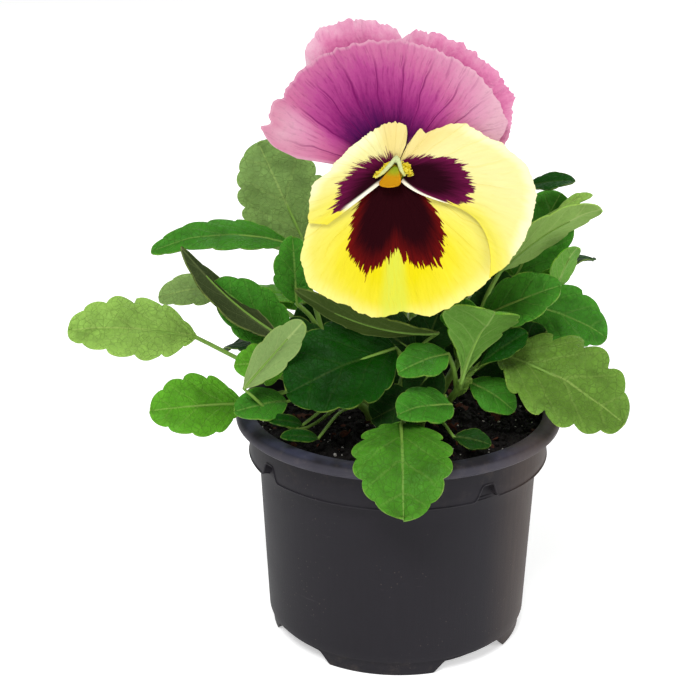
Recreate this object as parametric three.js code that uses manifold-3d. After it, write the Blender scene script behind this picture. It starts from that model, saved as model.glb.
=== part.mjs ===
// A pansy in bloom, growing in a plastic nursery pot full of soil.
// Millimetres, +Z up. The pot's axis is the Z axis, its feet stand on Z = 0,
// and the bloom faces -Y.
import * as THREE from "three";
import { mergeVertices } from "three/addons/utils/BufferGeometryUtils.js";
import Module from "manifold-3d";

const wasm = await Module();
wasm.setup();

// ---- Driving dimensions ----

const RIM_DIAMETER = 105;
const POT_HEIGHT = 76;
const WALL = 1.2;
const COLLAR_RADIUS = 48.3; // the straight band under the rolled lip
const BODY_TOP_RADIUS = 45.2;
const BODY_FOOT_RADIUS = 42.6;
const FOOT_RADIUS = 41.3;
const FOOT_HEIGHT = 5;
const FLOOR_UNDERSIDE = 3.4; // the floor is held clear of the ground by the feet
const COLLAR_FOOT = 60; // where the collar has curved in to the body
const POT_SIDES = 44;
const CENTRE_FOOT_RADIUS = 5;

const DRAIN_GAPS = [-52, 39, 129, 219]; // degrees round the pot, 0 is to the right
const INNER_RIB_WIDTH = 40; // degrees
const DRAIN_HOLE_WIDTH = 12; // degrees, of the hole through the floor behind each gap
const NOTCHES = [-55, 35, 125, 215]; // degrees, the stacking notches in the collar's edge
const NOTCH_TOP = 65.6;

const CLEARANCE = 0.35; // between one piece and the next
const SOIL_LEVEL = 70.5; // at the pot's wall
const SOIL_MOUND = 2; // how much higher the soil is in the middle
const STEM_DEPTH = 14; // how far the stems reach into the soil
const BLADE_THICKNESS = 0.7;
const PETAL_THICKNESS = 0.65;
const STEM_RADIUS = 1.5;
const LEAF_STALK_RADIUS = 0.85;

const THROAT = new THREE.Vector3(-2, -33, 160); // the middle of the bloom's face
const BLOOM_LEAN = 9; // degrees that the bloom's face looks up

// ---- Solids ----

const degrees = THREE.MathUtils.degToRad;

function vector(point) {
  return new THREE.Vector3(...point);
}

// A closed surface given by its points and triangles, as a solid.
function solidOf(points, triangles) {
  const vertProperties = new Float32Array(points.flatMap((p) => [p.x, p.y, p.z]));
  const triVerts = new Uint32Array(triangles.flat());
  return new wasm.Manifold(new wasm.Mesh({ numProp: 3, vertProperties, triVerts }));
}

// A three.js geometry as a solid.
function solidFrom(geometry) {
  geometry.deleteAttribute("normal");
  geometry.deleteAttribute("uv");
  const merged = mergeVertices(geometry, 1e-4);
  const vertProperties = merged.attributes.position.array;
  const triVerts = new Uint32Array(merged.index.array);
  return new wasm.Manifold(new wasm.Mesh({ numProp: 3, vertProperties, triVerts }));
}

function joined(solids) {
  return solids.reduce((all, solid) => all.add(solid));
}

function geometryOf(solid) {
  const mesh = solid.getMesh();
  const geometry = new THREE.BufferGeometry();
  geometry.setAttribute("position", new THREE.BufferAttribute(mesh.vertProperties, 3));
  geometry.setIndex(new THREE.BufferAttribute(mesh.triVerts, 1));
  return geometry;
}

// A body of revolution round Z from a closed profile of [radius, height] pairs.
function turned(profile, sides) {
  const outline = [...profile, profile[0]].map(([r, z]) => new THREE.Vector2(r, z));
  const geometry = new THREE.LatheGeometry(outline.reverse(), sides);
  geometry.rotateX(Math.PI / 2);
  return solidFrom(geometry);
}

// A block between two radii, two heights and two angles round Z.
function sector(inner, outer, low, high, middle, width) {
  const shape = new THREE.Shape();
  const from = degrees(middle - width / 2);
  const to = degrees(middle + width / 2);
  shape.absarc(0, 0, outer, from, to, false);
  shape.absarc(0, 0, inner, to, from, true);
  const geometry = new THREE.ExtrudeGeometry(shape, {
    depth: high - low,
    bevelEnabled: false,
    curveSegments: 3,
  });
  geometry.translate(0, 0, low);
  return solidFrom(geometry);
}

// A block pushed out along the radius at an angle. Its outline lists [across, height], as seen
// from outside the pot.
function radialBlock(outline, near, far, angle) {
  const shape = new THREE.Shape(outline.map(([across, height]) => new THREE.Vector2(across, height)));
  const geometry = new THREE.ExtrudeGeometry(shape, { depth: far - near, bevelEnabled: false });
  geometry.translate(0, 0, near);
  geometry.rotateX(Math.PI / 2);
  geometry.rotateZ(degrees(angle + 90));
  return solidFrom(geometry);
}

// A round rod along a list of points, thinning from one radius to another.
function rod(points, startRadius, endRadius, steps, sides) {
  const curve = new THREE.CatmullRomCurve3(points);
  const frames = curve.computeFrenetFrames(steps, false);
  const ring = [];
  for (let i = 0; i <= steps; i++) {
    const centre = curve.getPointAt(i / steps);
    const radius = THREE.MathUtils.lerp(startRadius, endRadius, i / steps);
    for (let k = 0; k < sides; k++) {
      const turn = (2 * Math.PI * k) / sides;
      const across = frames.normals[i].clone().multiplyScalar(radius * Math.cos(turn));
      const along = frames.binormals[i].clone().multiplyScalar(radius * Math.sin(turn));
      ring.push(centre.clone().add(across).add(along));
    }
  }
  const triangles = [];
  for (let i = 0; i < steps; i++) {
    for (let k = 0; k < sides; k++) {
      const a = i * sides + k;
      const b = i * sides + ((k + 1) % sides);
      triangles.push([a, b, b + sides], [a, b + sides, a + sides]);
    }
  }
  const last = steps * sides;
  for (let k = 1; k < sides - 1; k++) {
    triangles.push([0, k + 1, k], [last, last + k, last + k + 1]);
  }
  return solidOf(ring, triangles);
}

// A thin blade: points on its middle surface, the direction its upper face looks at each of
// them, and triangles that are alike on both faces. Its edge is closed all round.
function blade(points, normals, triangles, thickness) {
  const count = points.length;
  const lift = (i, side) => points[i].clone().addScaledVector(normals[i], side * thickness / 2);
  const both = [...points.map((_, i) => lift(i, 1)), ...points.map((_, i) => lift(i, -1))];
  const faces = [];
  const edges = new Map();
  for (const [a, b, c] of triangles) {
    faces.push([a, b, c], [a + count, c + count, b + count]);
    for (const [from, to] of [[a, b], [b, c], [c, a]]) {
      edges.set(`${from},${to}`, [from, to]);
    }
  }
  for (const [from, to] of edges.values()) {
    if (edges.has(`${to},${from}`)) continue;
    faces.push([from, from + count, to + count], [from, to + count, to]);
  }
  return solidOf(both, faces);
}

// ---- Pot ----

const RING_INSIDE = FOOT_RADIUS - 2.4; // of the ring that the pot stands on
// A drain gap and a notch as seen from outside: half widths and heights.
const GAP_OUTLINE = [
  [-15.4, -1],
  [15.4, -1],
  [11, FOOT_HEIGHT - 1],
  [-11, FOOT_HEIGHT - 1],
];
const NOTCH_OUTLINE = [
  [-5, COLLAR_FOOT - 1],
  [4.4, COLLAR_FOOT - 1],
  [2.3, NOTCH_TOP],
  [-2.5, NOTCH_TOP],
];

// The inner faces of the wall, shared by the pot and the soil that fills it.
const INSIDE = [
  [BODY_FOOT_RADIUS - WALL, FLOOR_UNDERSIDE + WALL],
  [BODY_TOP_RADIUS - WALL, COLLAR_FOOT - 2],
  [COLLAR_RADIUS - WALL, COLLAR_FOOT + 5],
  [COLLAR_RADIUS - WALL, POT_HEIGHT - 4],
  [COLLAR_RADIUS - WALL - 0.5, POT_HEIGHT - 0.6],
];

function potBody() {
  const rim = RIM_DIAMETER / 2;
  const outside = [
    [rim - 4.2, POT_HEIGHT],
    [rim - 1.7, POT_HEIGHT - 0.5],
    [rim, POT_HEIGHT - 2.8],
    [COLLAR_RADIUS, POT_HEIGHT - 4.8],
    [COLLAR_RADIUS, COLLAR_FOOT + 4],
    [COLLAR_RADIUS - 1.2, COLLAR_FOOT + 1],
    [BODY_TOP_RADIUS, COLLAR_FOOT],
    [BODY_FOOT_RADIUS, FOOT_HEIGHT + 0.6],
    [FOOT_RADIUS, FOOT_HEIGHT],
    [FOOT_RADIUS, 0],
    [RING_INSIDE, 0],
    [RING_INSIDE, FLOOR_UNDERSIDE],
    [0, FLOOR_UNDERSIDE],
  ];
  const envelope = turned([[0, POT_HEIGHT], ...outside], POT_SIDES);
  let pot = turned([[0, INSIDE[0][1]], ...INSIDE, ...outside], POT_SIDES);
  const centreFoot = [
    [0, FLOOR_UNDERSIDE + 0.4],
    [CENTRE_FOOT_RADIUS, FLOOR_UNDERSIDE + 0.4],
    [CENTRE_FOOT_RADIUS, 0],
    [0, 0],
  ];
  pot = pot.add(turned(centreFoot, 16));
  for (const angle of DRAIN_GAPS) {
    const block = sector(RING_INSIDE - 0.5, RIM_DIAMETER, -1, FOOT_HEIGHT - 0.9, angle, 54);
    const gap = block.intersect(radialBlock(GAP_OUTLINE, RING_INSIDE / 2, RIM_DIAMETER, angle));
    const hole = sector(RING_INSIDE - 12, RING_INSIDE - 3, -1, FOOT_HEIGHT + 2, angle, DRAIN_HOLE_WIDTH);
    pot = pot.subtract(gap).subtract(hole).add(innerRib(angle));
  }
  for (const angle of NOTCHES) {
    const cut = radialBlock(NOTCH_OUTLINE, BODY_TOP_RADIUS - 0.1, RIM_DIAMETER, angle);
    pot = pot.add(notchPocket(angle, 0).intersect(envelope)).subtract(cut);
  }
  return pot;
}

// Behind each drain gap a lower rib hangs from the floor.
function innerRib(angle) {
  const outer = RING_INSIDE - 0.8;
  return sector(outer - WALL, outer, 1.6, FLOOR_UNDERSIDE + 0.4, angle, INNER_RIB_WIDTH);
}

// The wall steps in behind each notch of the collar.
function notchPocket(angle, margin) {
  const half = 6.5 + margin;
  const low = COLLAR_FOOT - 2.5 - margin;
  const high = NOTCH_TOP + WALL + margin;
  const outline = [[-half, low], [half, low], [half, high], [-half, high]];
  return radialBlock(outline, BODY_TOP_RADIUS - WALL - 0.2 - margin, COLLAR_RADIUS - 0.9, angle);
}

// ---- Soil ----

function soilHeight(x, y) {
  const radius = Math.hypot(x, y) / COLLAR_RADIUS;
  const lumps = Math.sin(0.31 * x + 1) * Math.cos(0.27 * y) + 0.6 * Math.sin(0.53 * y + 0.4 * x);
  return SOIL_LEVEL + SOIL_MOUND * (1 - radius * radius) + 0.7 * lumps;
}

function soilBody(holes) {
  const sides = 32;
  const rings = 5;
  const top = INSIDE.at(-1)[0] - CLEARANCE;
  const levels = INSIDE.slice(0, 3).map(([r, z]) => [r - CLEARANCE, z]);
  levels[0][1] += CLEARANCE;
  const points = [new THREE.Vector3(0, 0, levels[0][1])];
  const place = (radius, k, z) => {
    const turn = (2 * Math.PI * k) / sides;
    const x = radius * Math.cos(turn);
    const y = radius * Math.sin(turn);
    points.push(new THREE.Vector3(x, y, z ?? soilHeight(x, y)));
  };
  for (const [radius, z] of levels) {
    for (let k = 0; k < sides; k++) place(radius, k, z);
  }
  for (let ring = rings; ring > 0; ring--) {
    for (let k = 0; k < sides; k++) place((top * ring) / rings, k);
  }
  points.push(new THREE.Vector3(0, 0, soilHeight(0, 0)));
  const triangles = [];
  const rows = levels.length + rings;
  for (let k = 0; k < sides; k++) {
    const next = (k + 1) % sides;
    triangles.push([0, 1 + next, 1 + k]);
    for (let row = 0; row < rows - 1; row++) {
      const a = 1 + row * sides + k;
      const b = 1 + row * sides + next;
      triangles.push([a, b, b + sides], [a, b + sides, a + sides]);
    }
    const last = 1 + (rows - 1) * sides;
    triangles.push([last + k, last + next, points.length - 1]);
  }
  let soil = solidOf(points, triangles);
  for (const angle of NOTCHES) soil = soil.subtract(notchPocket(angle, CLEARANCE));
  for (const hole of holes) soil = soil.subtract(hole);
  return soil;
}

// A plain upright hole for a stem, a little wider than the stem.
function stemHole([x, y], radius) {
  const depth = STEM_DEPTH + CLEARANCE;
  const hole = new THREE.CylinderGeometry(radius + CLEARANCE, radius + CLEARANCE, 2 * depth, 8);
  hole.rotateX(Math.PI / 2);
  hole.translate(x, y, SOIL_LEVEL);
  return solidFrom(hole);
}

// ---- Leaves ----

// How the width of a blade runs from its neck, 0, to its tip, 1: a larger swell puts the widest
// place nearer the tip, and a smaller neck or tip makes that end blunter.
const OUTLINES = {
  oval: { swell: 1, neckEnd: 0.8, tipEnd: 0.45 },
  round: { swell: 1, neckEnd: 0.62, tipEnd: 0.42 },
  long: { swell: 0.85, neckEnd: 0.9, tipEnd: 0.7 },
  fan: { swell: 1.9, neckEnd: 0.85, tipEnd: 0.42 },
  funnel: { swell: 3.5, neckEnd: 0.5, tipEnd: 0.3 },
};
const NOTCH_DEPTH = 0.13; // of the half width, between two rounded teeth
const NARROW = 20; // a blade under this width has no rows of points between rib and edge

// neck and tip are the ends of a blade, face is where its upper side looks, arch its bow as a
// share of its length, fold the slope of its halves in degrees, from how far up the stem its
// stalk starts, and bow how much the stalk rises in its middle, as a share of its length.
function leaf(neck, tip, width, face, options = {}) {
  const usual = { arch: 0.08, fold: 12, wave: 0.04, teeth: 4, outline: "oval", from: 1, bow: 0.12 };
  return { ...usual, neck, tip, width, face, ...options };
}

// The middle surface of a leaf. along runs from neck to tip and across from -1 to 1.
function leafPoint(shape, along, across) {
  const neck = vector(shape.neck);
  const chord = vector(shape.tip).sub(neck);
  const length = chord.length();
  const forward = chord.normalize();
  const up = vector(shape.face);
  up.addScaledVector(forward, -up.dot(forward)).normalize();
  const side = forward.clone().cross(up);
  const { swell, neckEnd, tipEnd } = OUTLINES[shape.outline];
  const blunt = THREE.MathUtils.lerp(neckEnd, tipEnd, along);
  const half = (shape.width / 2) * Math.sin(Math.PI * along ** swell) ** blunt;
  const x = half * across;
  const swing = 2.4 * Math.PI * along + (across > 0 ? 1 : 2.6);
  const ripple = shape.wave * shape.width * Math.sin(swing) * across * across;
  const bow = 4 * shape.arch * length * along * (1 - along);
  const slope = Math.tan(degrees(shape.fold)) * Math.abs(x) * (1 - 0.5 * Math.abs(across));
  return neck.addScaledVector(forward, length * along).addScaledVector(side, x)
    .addScaledVector(up, bow + slope + ripple);
}

function leafNormal(shape, along, across) {
  const step = 0.02;
  const inner = THREE.MathUtils.clamp(along, 0.05, 0.95);
  const ahead = leafPoint(shape, Math.min(along + step, 0.98), across);
  const behind = leafPoint(shape, Math.max(along - step, 0.02), across);
  const right = leafPoint(shape, inner, across + step);
  const left = leafPoint(shape, inner, across - step);
  return right.sub(left).cross(ahead.sub(behind)).normalize();
}

// Rows run from neck to tip, close together at both ends. Each tooth of the edge is one row,
// and the notch between two teeth is a point of its own.
function leafBlade(shape) {
  const rows = shape.teeth + 1;
  const columns = shape.width < NARROW ? [-1, 0, 1] : [-1, -0.5, 0, 0.5, 1];
  const edge = columns.length - 1;
  const points = [];
  const normals = [];
  const triangles = [];
  const add = (share, across) => {
    const along = 0.5 - 0.5 * Math.cos(Math.PI * share);
    points.push(leafPoint(shape, along, across));
    normals.push(leafNormal(shape, along, across * 0.6));
    return points.length - 1;
  };
  const neck = add(0, 0);
  const grid = [];
  for (let row = 1; row < rows; row++) grid.push(columns.map((across) => add(row / rows, across)));
  const tip = add(1, 0);
  for (let row = 0; row < grid.length - 1; row++) {
    const [a, b] = [grid[row], grid[row + 1]];
    const left = add((row + 1.5) / rows, NOTCH_DEPTH - 1);
    const right = add((row + 1.5) / rows, 1 - NOTCH_DEPTH);
    triangles.push([a[0], a[1], left], [a[1], b[1], left], [left, b[1], b[0]]);
    const k = edge - 1;
    triangles.push([a[k], a[edge], right], [a[k], right, b[k]], [right, b[edge], b[k]]);
    for (let c = 1; c < k; c++) triangles.push([a[c], a[c + 1], b[c + 1]], [a[c], b[c + 1], b[c]]);
  }
  const first = grid[0];
  const last = grid.at(-1);
  for (let c = 0; c < edge; c++) {
    triangles.push([neck, first[c + 1], first[c]], [tip, last[c], last[c + 1]]);
  }
  return blade(points, normals, triangles, BLADE_THICKNESS);
}

function leafStalk(shape, start) {
  const neck = vector(shape.neck);
  const inBlade = leafPoint(shape, 0.12, 0);
  const rise = new THREE.Vector3(0, 0, shape.bow * neck.distanceTo(start));
  const middle = start.clone().lerp(neck, 0.5).add(rise);
  return rod([start, middle, neck, inBlade], LEAF_STALK_RADIUS, 0.5, 3, 4);
}

const BROAD = { teeth: 6, outline: "round" };

// Each leafy stem: where it leaves the soil, where it ends, and its leaves. Those with
// stipules have a pair of small toothed leaflets part of the way up.
const LEAFY_STEMS = {
  left_low: {
    root: [-9, -8],
    top: [-15, -14, 84],
    stipules: true,
    leaves: [
      leaf([-63, -13, 102.5], [-101, -22, 107.5], 23, [0, -0.65, 0.75], { teeth: 6, bow: -0.05 }),
      leaf([-48, -22, 84], [-75, -34, 86], 21, [0, -0.8, 0.6], { teeth: 5, from: 0.7 }),
      leaf([-34, -27, 87], [-49, -37, 87.5], 12, [0, -0.7, 0.7], { teeth: 3, from: 0.8 }),
      leaf([-35, -18, 95], [-50, -25, 98], 14, [0, -0.8, 0.6], { from: 0.9 }),
      leaf([-46, -37, 95], [-28, -39, 117], 11, [0.3, 0.85, 0.2], { fold: 20, bow: -0.3 }),
      leaf([-29, -31, 81], [-39, -36, 84.5], 5, [0, -0.6, 0.8], { teeth: 2, from: 0.6 }),
      leaf([-24, -34, 78], [-35, -39, 80.5], 5, [0, -0.6, 0.8], { teeth: 2, from: 0.5 }),
    ],
  },
  left_high: {
    root: [-11, 2],
    top: [-24, 0, 97],
    leaves: [
      leaf([-34, 0, 129], [-76, -12, 130], 13, [0, -0.55, 0.8], { arch: 0.14, teeth: 7 }),
      leaf([-56, 18, 108], [-79, 16, 106], 15, [0, -0.5, 0.85], { from: 0.8 }),
      leaf([-34, -8, 99], [-57, -14, 121], 18, [-0.2, -0.8, 0.6], { teeth: 5, from: 0.9 }),
      leaf([-36, -19, 105], [-66, -17, 133], 11, [-0.6, 0.5, -0.5], { fold: 25, outline: "long" }),
      leaf([-32, -7, 112], [-33, -8, 134], 14, [0.1, -0.95, 0.2]),
      leaf([-22, -5, 92], [-41, -10, 105], 17, [0, -0.8, 0.6], { from: 0.8 }),
      leaf([-22, 5, 92], [-31, 4, 108], 18, [0, -0.8, 0.6], { teeth: 3, from: 0.7 }),
    ],
  },
  back_left: {
    root: [-6, 11],
    top: [-14, 18, 100],
    leaves: [
      leaf([-29, 18, 120], [-46, 25, 156], 29, [0, -0.9, 0.35], { teeth: 6, outline: "round" }),
      leaf([-30, 34, 98], [-61, 48, 96], 25, [-0.2, 0.2, 0.9], { teeth: 5, from: 0.8 }),
      leaf([-26, 40, 92], [-48, 62, 84], 24, [-0.3, 0.5, 0.8], { arch: 0.15, teeth: 5, from: 0.6 }),
      leaf([-16, 34, 116], [-28, 62, 128], 24, [0, -0.3, 0.9], { teeth: 5 }),
      leaf([-36, 14, 90], [-58, 34, 82], 20, [-0.3, 0.1, 0.9], { from: 0.7 }),
    ],
  },
  front: {
    root: [-1, -9],
    top: [2, -12, 92],
    leaves: [
      leaf([-1, -22, 103], [-33, -38, 94], 30, [0, -0.75, 0.66], BROAD),
      leaf([12, -19, 107], [-31, -27, 123], 11, [0, 0.8, 0.6], { arch: -0.1, teeth: 5 }),
      leaf([5, -9, 97], [-15, -14, 110], 19, [0, -0.7, 0.7], { from: 0.9 }),
      leaf([7, -2, 85], [-3, -5, 99], 17, [0, -0.8, 0.6], { teeth: 3, from: 0.6 }),
      leaf([8, -7, 96], [13, -8, 112], 15, [0, -0.8, 0.6], { teeth: 3 }),
    ],
  },
  front_low: {
    root: [7, -16],
    top: [10, -22, 84],
    stipules: true,
    leaves: [
      leaf([16, -28, 87], [0, -40, 88.5], 16, [0, -0.5, 0.85], { teeth: 3, outline: "round" }),
      leaf([1, -36, 84], [2, -64, 66], 30, [0, -0.6, 0.8], { ...BROAD, arch: 0.16, from: 0.7 }),
      leaf([6, -24, 87], [-8, -31, 83], 18, [0, -0.7, 0.7], { teeth: 3, from: 0.6 }),
      leaf([12, -19, 97], [4, -24, 87], 15, [0, -0.8, 0.6], { teeth: 3, bow: 0.5 }),
      leaf([17, -34, 79], [28, -36, 77.5], 8, [0, -0.5, 0.85], { teeth: 3, from: 0.6 }),
    ],
  },
  right_low: {
    root: [14, -6],
    top: [19, -18, 89],
    stipules: true,
    leaves: [
      leaf([19, -27, 94], [28, -31, 118], 27, [-0.35, 0.85, 0.2], { fold: 24, teeth: 5, outline: "funnel" }),
      leaf([15, -24, 102], [0, -33, 99], 14, [0, -0.5, 0.85], { teeth: 3, from: 0.9 }),
      leaf([22, -16, 90], [36, -20, 82], 13, [0.2, -0.6, 0.7], { teeth: 3, from: 0.7 }),
      leaf([31, -12, 98], [69, -27, 81], 32, [0.25, -0.7, 0.65], { ...BROAD, arch: 0.12, from: 0.9 }),
      leaf([23, -22, 96], [39, -21, 108], 9, [0, -0.6, 0.8], { teeth: 3, outline: "fan" }),
    ],
  },
  right_high: {
    root: [13, 5],
    top: [24, 2, 99],
    leaves: [
      leaf([36, 5, 110], [66, 1, 99], 23, [0.2, -0.6, 0.75], { teeth: 5, from: 0.9 }),
      leaf([26, -9, 109], [49, -14, 121], 16, [0, -0.8, 0.6], { outline: "round" }),
      leaf([32, 7, 119], [62, 2, 141], 16, [-0.4, 0.8, 0.4], { teeth: 5 }),
      leaf([50, 9, 112], [56, 7, 127], 11, [-0.5, 0.8, 0.2], { teeth: 3, from: 0.9 }),
      leaf([19, -11, 105], [19, -17, 118], 13, [0, -0.7, 0.7], { teeth: 3, from: 0.9 }),
      leaf([24, -3, 88], [46, -8, 104], 18, [0, -0.7, 0.7], { from: 0.7 }),
      leaf([33, 7, 96], [29, 10, 119], 19, [0, -0.8, 0.6], { teeth: 3, from: 0.7 }),
      leaf([19, 6, 88], [14, 7, 109], 18, [0, -0.8, 0.6], { teeth: 3, from: 0.6 }),
    ],
  },
  back_right: {
    root: [7, 13],
    top: [18, 21, 103],
    leaves: [
      leaf([38, 20, 113], [52, 25, 140], 23, [0, -0.8, 0.6]),
      leaf([34, 24, 104], [53, 27, 122], 22, [0, -0.8, 0.6], { from: 0.8 }),
      leaf([40, 17, 144], [55, 14, 146.5], 8, [0, -0.5, 0.85], { teeth: 3 }),
      leaf([50, 12, 138], [60, 8, 143.5], 5, [0, -0.5, 0.85], { teeth: 3 }),
      leaf([36, 30, 107], [66, 44, 112], 25, [0.2, 0.2, 0.9], { teeth: 5, from: 0.85 }),
      leaf([28, 38, 92], [46, 62, 82], 24, [0.3, 0.5, 0.8], { arch: 0.15, teeth: 5, from: 0.6 }),
      leaf([20, 36, 118], [34, 62, 130], 24, [0, -0.3, 0.9], { teeth: 5 }),
    ],
  },
  back: {
    root: [0, 16],
    top: [2, 27, 100],
    leaves: [
      leaf([2, 38, 108], [3, 70, 112], 26, [0, 0.2, 0.9], { teeth: 5, from: 0.9 }),
      leaf([2, 30, 126], [-6, 34, 158], 26, [0, -0.9, 0.3], { teeth: 5, outline: "round" }),
      leaf([0, 40, 88], [0, 66, 74], 26, [0, 0.6, 0.8], { arch: 0.2, teeth: 5, from: 0.5 }),
    ],
  },
};

function stemPoints({ root, top }) {
  const foot = new THREE.Vector3(root[0], root[1], SOIL_LEVEL - STEM_DEPTH);
  const collar = new THREE.Vector3(root[0], root[1], SOIL_LEVEL + SOIL_MOUND + 2);
  return [foot, foot.clone().lerp(collar, 0.5), collar, vector(top)];
}

// A pair of stipules, one to each side of the stem, leaning out and up.
function stipulePair(curve) {
  return [-1, 1].map((hand) => {
    const base = curve.getPoint(0.82 + 0.05 * hand);
    const reach = new THREE.Vector3(6 * hand, -4, 8);
    const neck = base.clone().addScaledVector(reach, 0.1);
    const tip = base.clone().add(reach);
    const shape = leaf(neck.toArray(), tip.toArray(), 4, [0, -0.8, 0.6], { teeth: 2 });
    return leafBlade(shape);
  });
}

function leafyStem(stem) {
  const points = stemPoints(stem);
  const curve = new THREE.CatmullRomCurve3(points);
  const solids = [rod(points, STEM_RADIUS, 1.1, 5, 6)];
  for (const shape of stem.leaves) {
    const start = curve.getPoint(THREE.MathUtils.lerp(0.68, 0.99, shape.from));
    solids.push(leafStalk(shape, start), leafBlade(shape));
  }
  if (stem.stipules) solids.push(...stipulePair(curve));
  return joined(solids);
}

// ---- Bloom ----

// A petal is a fan round the throat. edge lists [degrees, radius] round it, 0 to the right and
// 90 up; back is how far behind the face it starts, bend how far its edge leans back.
const PETALS = {
  petal_left_yellow: {
    edge: [
      [68, 9], [76, 14], [84, 14.5], [96, 14.5], [116, 13.5], [136, 13.5], [157, 15], [177, 18],
      [189, 23.5], [200, 25.5], [210, 28], [218, 24],
    ],
    back: 0,
    bend: 3,
    ruffle: 0.25,
    color: 0xf6ec8a,
  },
  petal_right_yellow: {
    edge: [
      [-47, 41], [-38, 42], [-24, 42], [-9, 41.3], [2, 38.6], [14, 32.6], [24, 27.5], [34, 25],
      [41, 22], [46, 18], [52, 14.5], [60, 15], [65, 9],
    ],
    back: 0,
    bend: 3,
    ruffle: 0.25,
    curl: 20,
    color: 0xf6ec8a,
  },
  petal_lower_yellow: {
    edge: [
      [208, 27], [217, 32], [224, 37], [234, 41], [250, 41], [262, 42.5], [275, 40.5],
      [285, 43], [298, 42], [314, 41.5], [330, 36], [345, 27],
    ],
    back: 1.5,
    bend: 3.6,
    ruffle: 0.3,
    color: 0xf2e32e,
  },
  petal_upper_front: {
    edge: [
      [12, 29], [25, 35.5], [38, 36], [60, 36.5], [85, 37], [110, 38], [131, 39.5], [145, 39],
      [155, 41], [162, 41.5], [168, 36], [172, 28],
    ],
    back: 1.5,
    bend: 7,
    ruffle: 0.5,
    color: 0xc66bab,
  },
  petal_upper_back: {
    edge: [
      [12, 32], [22, 36.5], [33, 40.5], [53, 41], [71, 41], [82, 40.5], [87, 38], [93, 42],
      [107, 45], [118, 46], [126, 44], [133, 37],
    ],
    back: 2.9,
    bend: 10,
    ruffle: 0.9,
    color: 0xc979b3,
  },
};
const PETAL_ROOT = 3; // radius of the throat, where the petals start
const PLUG_RADIUS = 2.6;
const PLUG_FRONT = 3; // how far the plug reaches before the face
const PLUG_BACK = 2.1; // and how far behind it
const LIP_MIDDLE = [-1.2, -3.1, -2.2]; // in the bloom's own frame
const LIP_HALF_SIZES = [3.4, 1.1, 2.1];
const KNOB_FRONT = 2.5; // where the knob of the flower stalk starts behind the face
const KNOB_BACK = 8;
const STIGMA_FRONT = -3; // where the stigma's middle lies, before the face
const STIGMA_HEAD = [0.6, 4.6]; // right of the throat and above it
const STIGMA_RADIUS = 0.95;
const SEPAL_ANGLES = [18, 90, 162, 234, 306];
const SEPAL_LENGTH = 15;
const STALK_ROOT = [4, 1]; // where the flower stalk leaves the soil
const PETAL_LENGTH = 40; // the radius at which an edge leans back by its bend

function edgeRadius(edge, angle) {
  let k = 1;
  while (k < edge.length - 1 && edge[k][0] < angle) k++;
  const [from, to] = [edge[k - 1], edge[k]];
  const t = THREE.MathUtils.smoothstep(angle, from[0], to[0]);
  return THREE.MathUtils.lerp(from[1], to[1], (t + (angle - from[0]) / (to[0] - from[0])) / 2);
}

// A point of a petal in the bloom's own frame: X right, Y back, Z up, from the throat.
function petalPoint(petal, across, out) {
  const first = petal.edge[0][0];
  const last = petal.edge.at(-1)[0];
  const angle = THREE.MathUtils.lerp(first, last, across);
  const full = edgeRadius(petal.edge, angle);
  const radius = THREE.MathUtils.lerp(PETAL_ROOT, full, out);
  const curl = (petal.curl ?? 0) * Math.sin(Math.PI * out) * (1 - across) ** 4;
  const turn = degrees(angle + curl);
  const lean = petal.bend * (radius / PETAL_LENGTH) ** 2;
  const ruffle = petal.ruffle * out ** 3 * Math.sin(14 * degrees(angle) + 2 * petal.back);
  const cup = 2.4 * (1 - Math.exp(-radius / 6));
  return new THREE.Vector3(
    radius * Math.cos(turn),
    petal.back + lean + ruffle - cup,
    radius * Math.sin(turn),
  );
}

function petalSolid(petal) {
  const sides = 16;
  const rows = 3;
  const points = [];
  const triangles = [];
  for (let row = 0; row <= rows; row++) {
    for (let k = 0; k <= sides; k++) points.push(petalPoint(petal, k / sides, row / rows));
  }
  for (let row = 0; row < rows; row++) {
    for (let k = 0; k < sides; k++) {
      const a = row * (sides + 1) + k;
      const c = a + sides + 1;
      triangles.push([a, c, c + 1], [a, c + 1, a + 1]);
    }
  }
  const normals = points.map(() => new THREE.Vector3(0, -1, 0));
  return blade(points, normals, triangles, PETAL_THICKNESS);
}

// The orange throat: a lip that swells before the petals, and the plug in the ring of their
// roots that carries it.
function throatSolid() {
  const plug = new THREE.CylinderGeometry(PLUG_RADIUS, PLUG_RADIUS, PLUG_BACK + PLUG_FRONT, 12);
  plug.translate(0, (PLUG_BACK - PLUG_FRONT) / 2, 0);
  const lip = new THREE.SphereGeometry(1, 12, 6);
  lip.scale(...LIP_HALF_SIZES);
  lip.translate(...LIP_MIDDLE);
  return solidFrom(plug).add(solidFrom(lip));
}

// The pale stigma: a small head over the throat, and a ridge running down each side of it.
function stigmaSolid() {
  const [headX, headZ] = STIGMA_HEAD;
  const head = new THREE.SphereGeometry(STIGMA_RADIUS, 8, 6);
  head.translate(headX, STIGMA_FRONT, headZ);
  const ridges = [-1, 1].map((hand) => {
    const points = [STIGMA_HEAD, [2.6 * hand, 2.4], [4.8 * hand, -0.6]];
    return rod(points.map(([x, z]) => new THREE.Vector3(x, STIGMA_FRONT, z)), 0.8, 0.5, 3, 6);
  });
  return joined([solidFrom(head), ...ridges]);
}

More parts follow.
